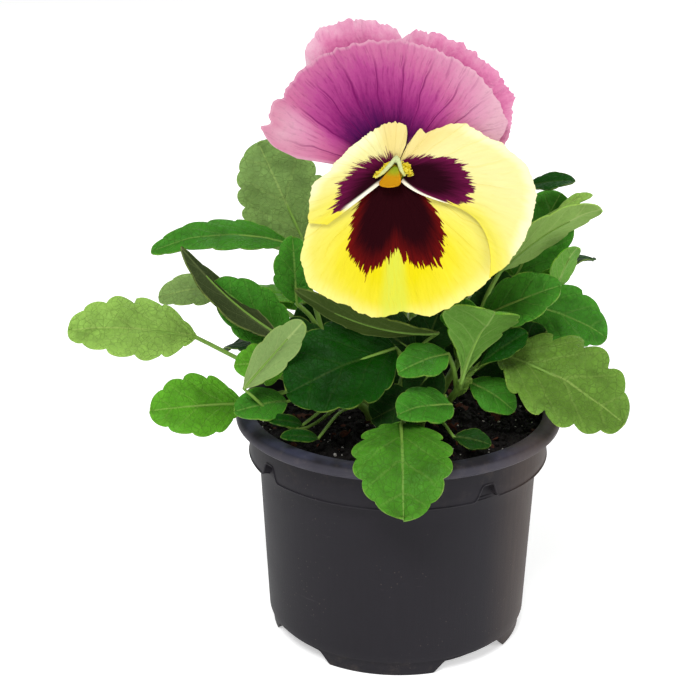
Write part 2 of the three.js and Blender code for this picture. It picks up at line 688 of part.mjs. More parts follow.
// Five pointed sepals behind the petals, the knob that carries them, and the stalk that
// rises from the soil and hooks over to the knob.
function flowerStalk() {
  const sepals = SEPAL_ANGLES.map((angle) => {
    const turn = degrees(angle);
    const at = (radius, back) => [radius * Math.cos(turn), back, radius * Math.sin(turn)];
    const shape = { teeth: 3, outline: "long", arch: 0.02 };
    return leafBlade(leaf(at(0.5, 2.95), at(SEPAL_LENGTH, 3.6), 5, [0, 1, 0], shape));
  });
  const ends = [new THREE.Vector3(0, KNOB_FRONT, 0), new THREE.Vector3(0, KNOB_BACK, 0)];
  const knob = rod(ends, 2.4, 1.6, 1, 10);
  const calyx = inBloomFrame(joined([knob, ...sepals]));
  const behind = (x, y, z) => new THREE.Vector3(x, y, z).add(THROAT);
  const route = [
    new THREE.Vector3(...STALK_ROOT, SOIL_LEVEL - STEM_DEPTH),
    new THREE.Vector3(...STALK_ROOT, SOIL_LEVEL + 4),
    behind(6, 36, -44),
    behind(2, 28, -6),
    behind(0, 19, 4),
    behind(0, 11, 1.5),
    behind(0, 7, -0.8),
  ];
  return calyx.add(rod(route, 1.5, 1.1, 12, 6));
}

function inBloomFrame(solid) {
  const placed = new THREE.Matrix4().makeRotationX(degrees(-BLOOM_LEAN));
  placed.setPosition(THROAT);
  return solid.transform(placed.toArray());
}

// ---- Assembly ----

const plant = new THREE.Group();

function addPiece(name, solid, color, roughness) {
  const material = new THREE.MeshStandardMaterial({ color, roughness, metalness: 0 });
  const mesh = new THREE.Mesh(geometryOf(solid), material);
  mesh.name = name;
  plant.add(mesh);
}

const roots = [...Object.values(LEAFY_STEMS).map(({ root }) => root), STALK_ROOT];
const holes = roots.map((root) => stemHole(root, STEM_RADIUS));
addPiece("pot", potBody(), 0x37343a, 0.5);
addPiece("soil", soilBody(holes), 0x1c1512, 1);
for (const [name, stem] of Object.entries(LEAFY_STEMS)) {
  addPiece(`leafy_stem_${name}`, leafyStem(stem), 0x3f7d22, 0.6);
}
for (const [name, petal] of Object.entries(PETALS)) {
  addPiece(name, inBloomFrame(petalSolid(petal)), petal.color, 0.75);
}

addPiece("flower_stalk", flowerStalk(), 0x5f9a3a, 0.6);
addPiece("throat", inBloomFrame(throatSolid()), 0xf0a818, 0.6);
addPiece("stigma", inBloomFrame(stigmaSolid()), 0xd9e39a, 0.5);

export default plant;
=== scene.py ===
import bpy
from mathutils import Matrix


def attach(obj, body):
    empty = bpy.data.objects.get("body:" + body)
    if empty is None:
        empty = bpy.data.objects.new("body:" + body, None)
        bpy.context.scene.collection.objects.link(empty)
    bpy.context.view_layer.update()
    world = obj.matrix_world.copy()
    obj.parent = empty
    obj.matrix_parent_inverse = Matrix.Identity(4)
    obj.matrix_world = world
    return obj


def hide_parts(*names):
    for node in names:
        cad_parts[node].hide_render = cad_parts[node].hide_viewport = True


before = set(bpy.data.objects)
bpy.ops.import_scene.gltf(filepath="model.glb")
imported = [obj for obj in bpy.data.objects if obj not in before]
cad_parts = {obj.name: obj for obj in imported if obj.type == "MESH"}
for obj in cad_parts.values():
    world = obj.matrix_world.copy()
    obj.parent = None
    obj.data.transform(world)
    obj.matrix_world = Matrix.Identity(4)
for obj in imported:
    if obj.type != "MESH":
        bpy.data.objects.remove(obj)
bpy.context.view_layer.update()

# Dresses the frame of a pansy that grows in a plastic nursery pot. The tables of shapes are in
# millimetres, with Z up and the bloom facing -Y, and Blender gets metres.

import math
import random

import bpy
from bpy.props import FloatProperty, FloatVectorProperty, IntProperty, PointerProperty
from mathutils import Matrix, Vector, noise

bl_info = {
    "name": "Potted pansy",
    "version": (1, 0, 0),
    "blender": (4, 5, 0),
    "location": "3D View > Sidebar > Pansy",
    "description": "Dresses the frame of a pansy in bloom in a plastic nursery pot",
    "category": "Add Mesh",
}

MM = 0.001


def srgb(red, green, blue):
    """A colour as picked on a screen, 0 to 255, in the linear values that Blender works in."""

    def linear(part):
        part /= 255
        return part / 12.92 if part <= 0.04045 else ((part + 0.055) / 1.055) ** 2.4

    return tuple(linear(part) for part in (red, green, blue))


def mix(first, second, share):
    """The value, or point, a share of the way from the first to the second."""
    return first + (second - first) * share


def smooth(low, high, value):
    """0 below low, 1 above high, and a soft rise between them."""
    t = min(max((value - low) / (high - low), 0), 1)
    return t * t * (3 - 2 * t)


# ---- Settings ----


def length_setting(name, description, millimetres):
    return FloatProperty(
        name=name, description=description, default=millimetres * MM, unit="LENGTH", precision=4
    )


def colour_setting(name, description, colour):
    return FloatVectorProperty(
        name=name, description=description, default=colour, subtype="COLOR", size=3, min=0, max=1
    )


class PotSettings(bpy.types.PropertyGroup):
    wall: length_setting("Wall", "Thickness of the pot's wall", 1.2)
    notch_height: length_setting("Notch height", "Height of the top of the stacking notches", 66)
    plastic: colour_setting("Plastic", "Colour of the pot", srgb(36, 34, 39))
    dust: colour_setting("Dust", "Colour of the dried soil on the pot", srgb(96, 86, 78))


class SoilSettings(bpy.types.PropertyGroup):
    crumbs: IntProperty(name="Crumbs", description="Loose grains of soil", default=2600, min=0)
    perlite: IntProperty(name="Perlite", description="White grains in the soil", default=130, min=0)
    chips: IntProperty(name="Chips", description="Bits of bark in the soil", default=170, min=0)
    peat: colour_setting("Peat", "Colour of the wet soil", srgb(20, 17, 16))
    bark: colour_setting("Bark", "Colour of the bits of bark", srgb(88, 48, 32))


class LeafSettings(bpy.types.PropertyGroup):
    thickness: length_setting("Thickness", "Thickness of a leaf blade", 0.45)
    quilting: length_setting("Quilting", "How far a blade swells between its veins", 0.34)
    vein: colour_setting("Vein", "Colour of the veins of a leaf", srgb(178, 200, 110))
    rim: colour_setting("Rim", "Colour of the thin rim of a leaf", srgb(172, 196, 88))
    stalk: colour_setting("Stalk", "Colour of stems and leaf stalks", srgb(112, 150, 58))


class BloomSettings(bpy.types.PropertyGroup):
    thickness: length_setting("Thickness", "Thickness of a petal", 0.42)
    lemon: colour_setting("Lemon", "Colour of the side petals", srgb(250, 241, 142))
    cream: colour_setting("Cream", "Colour of the side petals' margins", srgb(252, 248, 206))
    yellow: colour_setting("Yellow", "Colour of the lower petal", srgb(246, 230, 18))
    blotch: colour_setting("Blotch", "Colour of the dark blotches", srgb(26, 0, 6))
    mauve: colour_setting("Mauve", "Colour of the upper petals", srgb(186, 76, 144))
    orange: colour_setting("Orange", "Colour of the throat", srgb(190, 132, 3))


class StageSettings(bpy.types.PropertyGroup):
    lens: FloatProperty(name="Lens", description="Focal length", default=79.4 * MM, unit="CAMERA")
    floor: colour_setting("Floor", "Colour of the floor", (0.9, 0.9, 0.9))
    daylight: FloatProperty(
        name="Daylight", description="Strength of the light from all round", default=0.28, min=0
    )
    glow: FloatProperty(
        name="Glow", description="How far the floor is lit by itself, as paper on a light table",
        default=0.5, min=0,
    )


# ---- Working with Blender ----


def deselect_all():
    """Operators act on all that is selected, and the CAD nodes come selected."""
    bpy.ops.object.select_all(action="DESELECT")


def pick(*pieces):
    """Selects these pieces alone, the last of them active."""
    deselect_all()
    for piece in pieces:
        piece.select_set(True)
    bpy.context.view_layer.objects.active = pieces[-1]


def apply_modifier(piece, kind, **settings):
    """Adds a modifier with its settings to a piece, and applies it."""
    pick(piece)
    bpy.ops.object.modifier_add(type=kind)
    modifier = piece.modifiers[-1]
    for name, value in settings.items():
        setattr(modifier, name, value)
    bpy.ops.object.modifier_apply(modifier=modifier.name)


def remove(piece):
    pick(piece)
    bpy.ops.object.delete()


def merge_points(piece, distance=0.05 * MM, recalculate=True):
    """Joins points that lie together, and turns the faces of a closed piece outwards."""
    pick(piece)
    bpy.ops.object.mode_set(mode="EDIT")
    bpy.ops.mesh.select_all(action="SELECT")
    bpy.ops.mesh.remove_doubles(threshold=distance)
    if recalculate:
        bpy.ops.mesh.normals_make_consistent(inside=False)
    bpy.ops.object.mode_set(mode="OBJECT")


def join(name, pieces):
    """Several meshes as one piece."""
    pick(*pieces)
    if len(pieces) > 1:
        bpy.ops.object.join()
    whole = bpy.context.object
    whole.name = whole.data.name = name
    return whole


def shade(piece, angle):
    """Shades a piece smooth, but for edges sharper than an angle."""
    pick(piece)
    bpy.ops.object.shade_smooth_by_angle(angle=math.radians(angle))


def dress(piece, nodes, materials=()):
    """Gives a finished piece its materials, hangs it on the root body and hides the CAD parts that
    it stands for.
    """
    for material in materials:
        piece.data.materials.append(material)
    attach(piece, "root")
    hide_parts(*nodes)
    return piece


def ring(name, outline, filled):
    """A flat loop of points, given in millimetres, filled with one face or left open."""
    deselect_all()
    fill = "NGON" if filled else "NOTHING"
    bpy.ops.mesh.primitive_circle_add(vertices=len(outline), fill_type=fill)
    loop = bpy.context.object
    loop.name = loop.data.name = name
    for vertex, point in zip(loop.data.vertices, outline):
        vertex.co = Vector(point) * MM
    return loop


def slab(name, outline, low, high, place=None):
    """A block with a flat outline, from one level to another. place bends it into its shape."""
    block = ring(name, [(x, y, low) for x, y in outline], True)
    pick(block)
    bpy.ops.object.mode_set(mode="EDIT")
    bpy.ops.mesh.select_all(action="SELECT")
    rise = {"value": (0, 0, (high - low) * MM)}
    bpy.ops.mesh.extrude_region_move(TRANSFORM_OT_translate=rise)
    bpy.ops.mesh.select_all(action="SELECT")
    bpy.ops.object.mode_set(mode="OBJECT")
    if place:
        for vertex in block.data.vertices:
            vertex.co = Vector(place(*(vertex.co / MM))) * MM
    merge_points(block)
    return block


SECTOR_STEPS = 8


def sector(name, inner, outer, low, high, middle, width):
    """A block between two radii, two levels and two angles round the pot's axis."""
    shares = [k / SECTOR_STEPS for k in range(SECTOR_STEPS + 1)]
    turns = [math.radians(middle - width / 2 + width * share) for share in shares]
    far = [(outer * math.cos(t), outer * math.sin(t)) for t in turns]
    near = [(inner * math.cos(t), inner * math.sin(t)) for t in reversed(turns)]
    return slab(name, far + near, low, high)


def radial_block(name, outline, near, far, angle):
    """A block pushed out along the radius at an angle, its outline seen from outside the pot."""
    turn = math.radians(angle)

    def place(across, height, depth):
        x = depth * math.cos(turn) - across * math.sin(turn)
        return x, depth * math.sin(turn) + across * math.cos(turn), height

    return slab(name, outline, near, far, place)


def cut(piece, tool, operation="DIFFERENCE"):
    """Cuts a piece with a tool, or joins or crosses the two, and uses the tool up."""
    apply_modifier(piece, "BOOLEAN", object=tool, operation=operation, solver="EXACT")
    remove(tool)


def sheet(name, columns, rows, points):
    """A grid laid through points in millimetres, row by row. Its UV map keeps their u and v."""
    deselect_all()
    bpy.ops.mesh.primitive_grid_add(x_subdivisions=columns, y_subdivisions=rows, size=1)
    grid = bpy.context.object
    grid.name = grid.data.name = name
    for vertex, point in zip(grid.data.vertices, points):
        vertex.co = Vector(point) * MM
    return grid


def grid_shares(columns, rows):
    """The u and v of each point of a sheet, in the order of its points."""
    return [(c / columns, r / rows) for r in range(rows + 1) for c in range(columns + 1)]


def note(piece, name, values):
    """Keeps a vector, or a colour and its strength, for each point, for the material to read."""
    is_colour = len(values[0]) == 4
    kind, field = ("FLOAT_COLOR", "color") if is_colour else ("FLOAT_VECTOR", "vector")
    layer = piece.data.attributes.new(name, kind, "POINT")
    layer.data.foreach_set(field, [part for value in values for part in value])


def finish_sheet(piece, thickness, slot, node, *materials):
    """Gives a sheet its materials, the second for its back, and its thickness, shades it and
    dresses it in place of its CAD part.
    """
    for material in materials:
        piece.data.materials.append(material)
    lined = len(materials) - 1
    apply_modifier(piece, "SOLIDIFY", thickness=thickness, offset=0, material_offset=lined)
    shade(piece, 55)
    dress(piece, [node])


def copies(name, source, places):
    """One mesh that holds a copy of a small shape at each of many places."""
    points = [vertex.co.copy() for vertex in source.data.vertices]
    faces = [tuple(face.vertices) for face in source.data.polygons]
    all_points = []
    all_faces = []
    for matrix in places:
        start = len(all_points)
        all_points.extend(matrix @ point for point in points)
        all_faces.extend(tuple(start + k for k in face) for face in faces)
    mesh = bpy.data.meshes.new(name)
    mesh.from_pydata(all_points, [], all_faces)
    whole = bpy.data.objects.new(name, mesh)
    bpy.context.collection.objects.link(whole)
    remove(source)
    return whole


def course(points, share):
    """A point of the smooth curve through some points, which share, 0 to 1, runs along."""
    points = [Vector(point) for point in points]
    place = min(max(share, 0), 1) * (len(points) - 1)
    k = min(int(place), len(points) - 2)
    t = place - k
    first, second = points[k], points[k + 1]
    before = points[k - 1] if k else first * 2 - second
    after = points[k + 2] if k + 2 < len(points) else second * 2 - first
    steps = (first - before, second - first, after - second)
    gap0, gap1, gap2 = (math.sqrt(step.length) for step in steps)
    leave = (steps[0] / gap0 - (second - before) / (gap0 + gap1) + steps[1] / gap1) * gap1
    arrive = (steps[1] / gap1 - (after - first) / (gap1 + gap2) + steps[2] / gap2) * gap1
    bend = steps[1] * 3 - leave * 2 - arrive
    turn = leave + arrive - steps[1] * 2
    return first + leave * t + bend * t**2 + turn * t**3


def strand(points, radii, steps):
    """A smooth round strand through some points, its radius running through radii."""
    shares = [k / steps for k in range(steps + 1)]
    line = [course(points, share) for share in shares]
    widths = []
    for share in shares:
        place = share * (len(radii) - 1)
        k = min(int(place), len(radii) - 2)
        widths.append(mix(radii[k], radii[k + 1], place - k))
    return line, widths


def strands(name, lines, sides=2):
    """Round strands as one mesh. More sides make them rounder."""
    curve = bpy.data.curves.new(name, "CURVE")
    curve.dimensions = "3D"
    curve.bevel_depth = MM
    curve.bevel_resolution = sides
    curve.use_fill_caps = True
    for points, radii in lines:
        spline = curve.splines.new("POLY")
        spline.points.add(len(points) - 1)
        for end, point, radius in zip(spline.points, points, radii):
            end.co = (*(point * MM), 1)
            end.radius = radius
    piece = bpy.data.objects.new(name, curve)
    bpy.context.collection.objects.link(piece)
    pick(piece)
    bpy.ops.object.convert(target="MESH")
    piece = bpy.context.object
    shade(piece, 50)
    return piece


# ---- Materials ----


class Value:
    """A socket inside a material. Arithmetic on it adds Math nodes."""

    def __init__(self, paint, socket):
        self.paint = paint
        self.socket = socket

    def __add__(self, other):
        return self.paint.math("ADD", self, other)

    __radd__ = __add__

    def __sub__(self, other):
        return self.paint.math("SUBTRACT", self, other)

    def __rsub__(self, other):
        return self.paint.math("SUBTRACT", other, self)

    def __mul__(self, other):
        return self.paint.math("MULTIPLY", self, other)

    __rmul__ = __mul__

    def __truediv__(self, other):
        return self.paint.math("DIVIDE", self, other)

    def __pow__(self, other):
        return self.paint.math("POWER", self, other)

    def __abs__(self):
        return self.paint.math("ABSOLUTE", self)


class Paint:
    """One material, as the nodes that feed its Principled shader."""

    def __init__(self, name, **uniform):
        self.material = bpy.data.materials.new(name)
        self.material.use_nodes = True
        self.tree = self.material.node_tree
        self.shader = self.tree.nodes["Principled BSDF"]
        for socket, value in uniform.items():
            self.set(self.shader.inputs[socket.replace("_", " ")], value)

    def set(self, socket, value):
        """Links a socket to a value of the material, or gives it a number or a colour."""
        if isinstance(value, Value):
            self.tree.links.new(value.socket, socket)
        elif socket.type == "RGBA" and len(value) == 3:
            socket.default_value = (*value, 1)
        else:
            socket.default_value = value

    def add(self, kind, settings=None, sockets=None, output=0):
        """Any node: its settings are made first, then its sockets get values or links."""
        node = self.tree.nodes.new("ShaderNode" + kind)
        for name, value in (settings or {}).items():
            setattr(node, name, value)
        for name, value in (sockets or {}).items():
            self.set(node.inputs[name], value)
        return Value(self, node.outputs[output])

    def math(self, operation, *values):
        return self.add("Math", {"operation": operation}, dict(enumerate(values)))

    def blend(self, share, first, second):
        """A colour between two colours."""
        return self.add("Mix", {"data_type": "RGBA"}, {0: share, 6: first, 7: second}, output=2)

    def tinted(self, colour, brightness):
        """A colour made lighter or darker by a value round 1."""
        return self.add("VectorMath", {"operation": "SCALE"}, {0: colour, "Scale": brightness})

    def rise(self, value, low, high):
        """0 where a value is at low, 1 where it is at high, with a soft rise between."""
        sockets = {"Value": value, "From Min": low, "From Max": high}
        return self.add("MapRange", {"interpolation_type": "SMOOTHSTEP"}, sockets)

    def shades(self, value, stops):
        """A colour that runs through several, each at its own value."""
        start, colour = stops[0]
        for end, following in stops[1:]:
            sockets = {"Value": value, "From Min": start, "From Max": end}
            colour = self.blend(self.add("MapRange", None, sockets), colour, following)
            start = end
        return colour

    def parts(self, vector):
        """The three numbers that a vector holds."""
        node = self.add("SeparateXYZ", None, {0: vector}).socket.node
        return [Value(self, output) for output in node.outputs]

    def vector(self, x, y, z=0.0):
        return self.add("CombineXYZ", None, {0: x, 1: y, 2: z})

    def place(self):
        """The point on the piece, in millimetres."""
        metres = self.add("TexCoord", output="Object")
        return self.add("VectorMath", {"operation": "SCALE"}, {0: metres, "Scale": 1 / MM})

    def layer(self, name, output="Vector"):
        """What the maker noted on each point of the piece under a name."""
        return self.add("Attribute", {"attribute_name": name}, output=output)

    def noise(self, vector, scale, detail=2.0, roughness=0.5, distortion=0.0):
        sockets = {"Vector": vector, "Scale": scale, "Detail": detail}
        sockets.update({"Roughness": roughness, "Distortion": distortion})
        return self.add("TexNoise", None, sockets)

    def cells(self, vector, scale, feature="F1"):
        """How far it is to the nearest of many scattered points, or to the edge of its cell."""
        sockets = {"Vector": vector, "Scale": scale}
        return self.add("TexVoronoi", {"feature": feature}, sockets, output="Distance")

    def most(self, *masks):
        """The strongest of several masks."""
        strongest = masks[0]
        for mask in masks[1:]:
            strongest = self.math("MAXIMUM", strongest, mask)
        return strongest

    def uv(self):
        u, v, _ = self.parts(self.add("UVMap", {"uv_map": "UVMap"}))
        return u, v

    def bump(self, height, millimetres):
        sockets = {"Height": height, "Distance": millimetres * MM, "Strength": 1.0}
        return self.add("Bump", None, sockets)

    def finish(self, colour, roughness, normal=None):
        """Feeds the shader, and hands over the material."""
        self.set(self.shader.inputs["Base Color"], colour)
        self.set(self.shader.inputs["Roughness"], roughness)
        if normal is not None:
            self.set(self.shader.inputs["Normal"], normal)
        return self.material


def plastic_paint(settings):
    """Charcoal plastic with a fine moulded grain, soft scuffs and a breath of dried soil, with
    painted light: a bluish reflection on the lip's top, a highlight along its outer edge and a
    taupe sheen on the right side.
    """
    paint = Paint("charcoal_plastic", Specular_IOR_Level=0.12)
    place = paint.place()
    x, y, z = paint.parts(place)
    cloud = paint.noise(place, 0.045, 4, 0.6)
    grain = paint.noise(place, 2.6, 3, 0.6)
    streak = paint.noise(paint.vector(x * 0.5, y * 0.5, z * 0.03), 1.3, 3, 0.6)
    scratch = paint.noise(paint.vector(x * 0.1, y * 0.1, z * 2.2), 0.9, 4, 0.7, 0.6)
    scuff = paint.rise(scratch, 0.64, 0.74) * paint.rise(cloud, 0.42, 0.66)
    specks = paint.rise(paint.cells(place, 0.55), 0.16, 0.06) * paint.rise(cloud, 0.5, 0.62)
    splash = paint.rise(z, 56, 76) * 0.35 + paint.rise(z, 9, 0) * 0.4
    dusty = paint.rise(paint.noise(place, 0.16, 5, 0.66), 0.5, 0.78) * splash + specks * 0.35
    colour = paint.tinted(settings.plastic, 0.82 + cloud * 0.26 + streak * 0.12)
    colour = paint.blend(scuff * 0.16, colour, srgb(116, 110, 112))
    colour = paint.blend(dusty, colour, settings.dust)
    # Painted reflection: a bluish sheen over the top of the lip.
    lip_reflection = paint.rise(z, 74.6, 75.6) * paint.rise(cloud, 0.35, 0.6)
    colour = paint.blend(lip_reflection * 0.4, colour, srgb(74, 78, 104))
    radius = paint.math("SQRT", x * x + y * y)
    # Painted highlight along the outer edge of the lip.
    lit = paint.rise(radius, 51.3, 52.2) * (0.3 + cloud)
    colour = paint.blend(lit * 0.28, colour, srgb(112, 110, 124))
    # Painted reflection: a taupe sheen on the right front side of the pot.
    right_side_sheen = paint.rise(x, 26, 46) * paint.rise(y, 4, -10) * (0.5 + streak)
    colour = paint.blend(right_side_sheen * 0.3, colour, srgb(112, 92, 78))
    rough = 0.42 + cloud * 0.12 + grain * 0.1 + dusty * 0.35 + scuff * 0.1
    height = grain * 0.5 + scratch * 0.25 + streak * 0.5 + specks * 0.6
    return paint.finish(colour, rough, paint.bump(height, 0.05))


def soil_paint(settings):
    """Damp peat: near black, with brown fibres."""
    paint = Paint("potting_soil", Specular_IOR_Level=0.2)
    place = paint.place()
    lumps = paint.noise(place, 0.35, 6, 0.7)
    grains = paint.cells(place, 1.5)
    fibre = paint.noise(place, 1.1, 5, 0.75, 1.5)
    colour = paint.tinted(settings.peat, 0.45 + lumps * 1.1)
    colour = paint.blend(paint.rise(fibre, 0.58, 0.72) * 0.55, colour, srgb(74, 50, 36))
    height = lumps + grains * 0.7 + fibre * 0.5
    return paint.finish(colour, 0.95 - grains * 0.2, paint.bump(height, 0.5))


def grain_paint(name, light, dark, rough):
    """Small rough bits: perlite, bark and crumbs."""
    paint = Paint(name, Specular_IOR_Level=0.2)
    place = paint.place()
    speckle = paint.noise(place, 1.6, 4, 0.65)
    patch = paint.noise(place, 0.22, 2)
    colour = paint.blend(paint.rise(speckle * 0.6 + patch * 0.4, 0.36, 0.62), dark, light)
    return paint.finish(colour, rough + speckle * 0.1, paint.bump(speckle, 0.25))


VEINS = 5  # side veins in half a leaf
VEIN_SWEEP = 0.75  # how far they lean towards the tip


def leaf_veins(paint):
    """Where the midrib, the side veins and the fine net of a leaf run, each as a mask, and how
    far a point is from the edge, and where it is on the blade laid flat."""
    u, v = paint.uv()
    x, y, edge = paint.parts(paint.layer("blade"))
    across = abs(u * 2 - 1)
    local = paint.vector(x, y)
    drift = paint.noise(local, 0.16, 2) - 0.5
    run = (v - across**1.2 * (1 - v) * VEIN_SWEEP) * VEINS + drift * 0.35
    off = abs(paint.math("FRACT", run) - 0.5)
    side = paint.rise(off, 0.085, 0.02) * (1 - across * 0.55)
    fork = abs(paint.math("FRACT", run * 2 + across * 1.6) - 0.5)
    side = side + paint.rise(fork, 0.1, 0.03) * paint.rise(across, 0.35, 0.8) * 0.35
    rib = paint.rise(abs(x) / (1.25 - v), 0.75, 0.25)
    bent = paint.vector(x + drift * 1.5, y + drift * 1.5)
    net = paint.rise(paint.cells(bent, 0.55, "DISTANCE_TO_EDGE"), 0.09, 0.01)
    return rib, side, net, edge, local


def leaf_face_paint(settings):
    """The upper side of a leaf: its own green, mottled, with paler veins and a thin yellowish rim.
    Painted shade darkens it at the neck and in the furrows of its veins, and a painted highlight
    lightens it towards the margin and on the swells between the veins."""
    paint = Paint("leaf_upper_side", Specular_IOR_Level=0.07)
    rib, side, net, edge, local = leaf_veins(paint)
    green = paint.layer("green", "Color")
    shown = paint.layer("green", "Alpha")
    place = paint.place()
    patch = paint.noise(place, 0.075, 3, 0.6)
    fine = paint.noise(local, 0.7, 4, 0.65)
    swell = paint.noise(local, 0.22, 3, 0.55)
    colour = paint.tinted(green, 0.42 + patch * 0.6 + fine * 0.52)
    deep = paint.rise(paint.noise(place, 0.13, 2), 0.45, 0.7)
    colour = paint.blend(deep * 0.5, colour, paint.tinted(green, 0.45))
    # Painted shade: darker towards the neck of the blade.
    _, v = paint.uv()
    colour = paint.tinted(colour, 1 - paint.rise(v, 0.45, 0) * 0.35)
    # Painted highlight: lighter towards the margin and on the swells between the veins.
    light = (paint.rise(edge + (swell - 0.5) * 5, 5, 0) + paint.rise(swell, 0.5, 0.75)) * 0.45
    colour = paint.blend(light, colour, paint.tinted(green, 1.55))
    lines = paint.most(rib * 0.3, side * 0.12, net * 0.05)
    colour = paint.blend(lines * shown, colour, settings.vein)
    # Painted shade in the furrows of the fine net and side veins.
    furrow_shade = paint.most(net * 0.45, side * 0.1) * paint.rise(swell, 0.3, 0.6)
    colour = paint.blend(furrow_shade, colour, paint.tinted(green, 0.5))
    rim = paint.rise(edge, 0.4, 0.1) * paint.rise(swell, 0.36, 0.62) * 0.32
    colour = paint.blend(rim, colour, settings.rim)
    pores = paint.cells(local, 2.6)
    height = fine * 0.35 + pores * 0.3 - net * 0.3 - side * 0.5 + swell * 1.2
    rough = 0.3 + fine * 0.14 + lines * 0.1
    return paint.finish(colour, rough, paint.bump(height, 0.3))


def leaf_back_paint():
    """The underside of a leaf: greyer and duller, with veins that stand out."""
    paint = Paint("leaf_underside", Specular_IOR_Level=0.06)
    rib, side, net, edge, local = leaf_veins(paint)
    green = paint.layer("green", "Color")
    shown = paint.layer("green", "Alpha")
    fine = paint.noise(local, 0.8, 4, 0.65)
    pale = paint.blend(shown * 0.24, green, srgb(146, 168, 112))
    colour = paint.tinted(pale, 0.66 + fine * 0.34 + paint.noise(paint.place(), 0.08, 2) * 0.3)
    lines = paint.most(rib * 0.5, side * 0.25, net * 0.1)
    colour = paint.blend(lines * shown, colour, srgb(176, 194, 122))
    colour = paint.blend(paint.rise(edge, 0.6, 0.1) * 0.3, colour, srgb(160, 180, 100))
    height = fine * 0.3 + side * 0.7 + net * 0.3
    return paint.finish(colour, 0.62, paint.bump(height, 0.14))


def stalk_paint(settings):
    """Juicy stems: pale green, streaked along, browner where they leave the soil."""
    paint = Paint("green_stalk", Specular_IOR_Level=0.3)
    place = paint.place()
    x, y, z = paint.parts(place)
    streak = paint.noise(paint.vector(x * 2.2, y * 2.2, z * 0.25), 0.8, 3, 0.6)
    patch = paint.noise(place, 0.12, 2)
    colour = paint.tinted(settings.stalk, 0.6 + streak * 0.4 + patch * 0.4)
    colour = paint.blend(paint.rise(z, 80, 71) * 0.5, colour, srgb(120, 112, 66))
    hairs = paint.noise(place, 3.5, 3)
    return paint.finish(colour, 0.4 + streak * 0.15, paint.bump(streak + hairs * 0.5, 0.1))


BLOTCH_FRINGE = 11  # how long the rays at the edge of a dark blotch are


class PetalPaint(Paint):
    """A petal's material, with what it reads at each point and two kinds of streaks."""

    def __init__(self, name):
        super().__init__(name, Specular_IOR_Level=0.04)
        # The angle round the throat, the radius, and the share of the way out.
        self.turn, self.radius, self.out = self.parts(self.layer("bloom"))
        # How far inside the blotch and inside the edge, and how much of the white rim.
        self.inside, self.edge, self.rim = self.parts(self.layer("mark"))
        # How far out among the petal's tones, and how much of its stripe of another tone: painted
        # shade on a side petal, a greener streak on the lower petal.
        self.tone, self.band, _ = self.parts(self.layer("tone"))
        self.wide = self.rays(9, 0.05, 1.6, 3)
        self.fine = self.rays(27, 0.07, 1.5, 4)

    def rays(self, round_throat, outwards, scale, detail, roughness=0.6):
        """Noise drawn out along the radius."""
        place = self.vector(self.turn * round_throat, self.radius * outwards)
        return self.noise(place, scale, detail, roughness)

    def velvet(self, colour, height, millimetres, rough=0.8):
        return self.finish(colour, rough, self.bump(height, millimetres))


def ray_veins(paint, count, width):
    """Forking veins that run out from the throat: a few strong ones, and finer ones between."""
    turn, radius = paint.turn, paint.radius
    bend = (paint.rays(2.2, 0.06, 1.0, 2, 0.5) - 0.5) * 0.9
    run = turn * count + bend
    first = abs(paint.math("FRACT", run) - 0.5)
    second = abs(paint.math("FRACT", run * 2 + 0.31) - 0.5)
    third = abs(paint.math("FRACT", run * 5 + 0.17) - 0.5)
    broken = paint.rise(paint.rays(14, 0.3, 1.0, 2, 0.5), 0.4, 0.62)
    strong = paint.rise(first, width, width * 0.25) * paint.rise(radius, 37, 27)
    medium = paint.rise(second, width * 1.5, 0.02) * paint.rise(radius, 14, 20) * 0.55
    slight = paint.rise(third, width * 4, 0.03) * paint.rise(radius, 17, 25) * 0.4
    return paint.most(strong, paint.most(medium, slight) * broken)


def yellow_velvet(paint, settings):
    """Deep yellow under the throat, lemon round it and pale lemon further out."""
    where = paint.tone + (paint.fine - 0.5) * 0.35 + (paint.wide - 0.5) * 0.3
    colour = paint.shades(
        where,
        [
            (0.45, settings.yellow), (0.95, srgb(249, 234, 54)), (1.35, srgb(250, 239, 104)),
            (1.8, settings.lemon), (2.5, srgb(251, 243, 168)),
        ],
    )
    return paint.tinted(colour, 0.72 + paint.wide * 0.14)


def margin_mask(paint, inner, outer, tones):
    """A ragged margin along a petal's edge, only where its tone lies far enough out."""
    ragged = paint.edge + (paint.wide - 0.5) * 4
    return paint.rise(ragged, inner, outer) * paint.rise(paint.tone, *tones)


def with_blotch(paint, colour, dark, glow):
    """Lays a dark blotch with feathered rays on a petal's colour, and gives its mask too."""
    uneven = (paint.fine - 0.5) + (paint.wide - 0.5) * 0.6
    ragged = paint.inside + uneven * BLOTCH_FRINGE
    mask = paint.rise(ragged, -0.25, 0.25)
    shown = paint.rise(ragged, 9, 0) * (paint.fine * 2.4 - 0.6) + 0.04
    return paint.blend(mask, colour, paint.blend(shown, dark, glow)), mask


def finish_yellow(paint, colour, veins, mask):
    height = paint.fine * 0.6 + paint.wide * 0.4 - veins * 0.3
    return paint.velvet(colour, height, 0.2, 0.8 - mask * 0.1)


def side_petal_paint(settings):
    """Lemon velvet with a cream margin, painted shade along its upper strip, a white rim at the
    throat and a purple-black blotch.
    """
    paint = PetalPaint("pale_yellow_petal")
    colour = yellow_velvet(paint, settings)
    margin = margin_mask(paint, 4.5, 0.6, (1.5, 2.2))
    colour = paint.blend(margin * 0.6, colour, settings.cream)
    # Painted shade: a darker beige stripe along the petal's upper strip.
    colour = paint.blend(paint.band * 0.85, colour, srgb(224, 202, 124))
    veins = ray_veins(paint, 4.2, 0.05)
    colour = paint.blend(veins * 0.2, colour, srgb(226, 206, 88))
    colour, mask = with_blotch(paint, colour, settings.blotch, srgb(112, 20, 70))
    colour = paint.blend(paint.rim, colour, srgb(240, 234, 214))
    return finish_yellow(paint, colour, veins, mask)


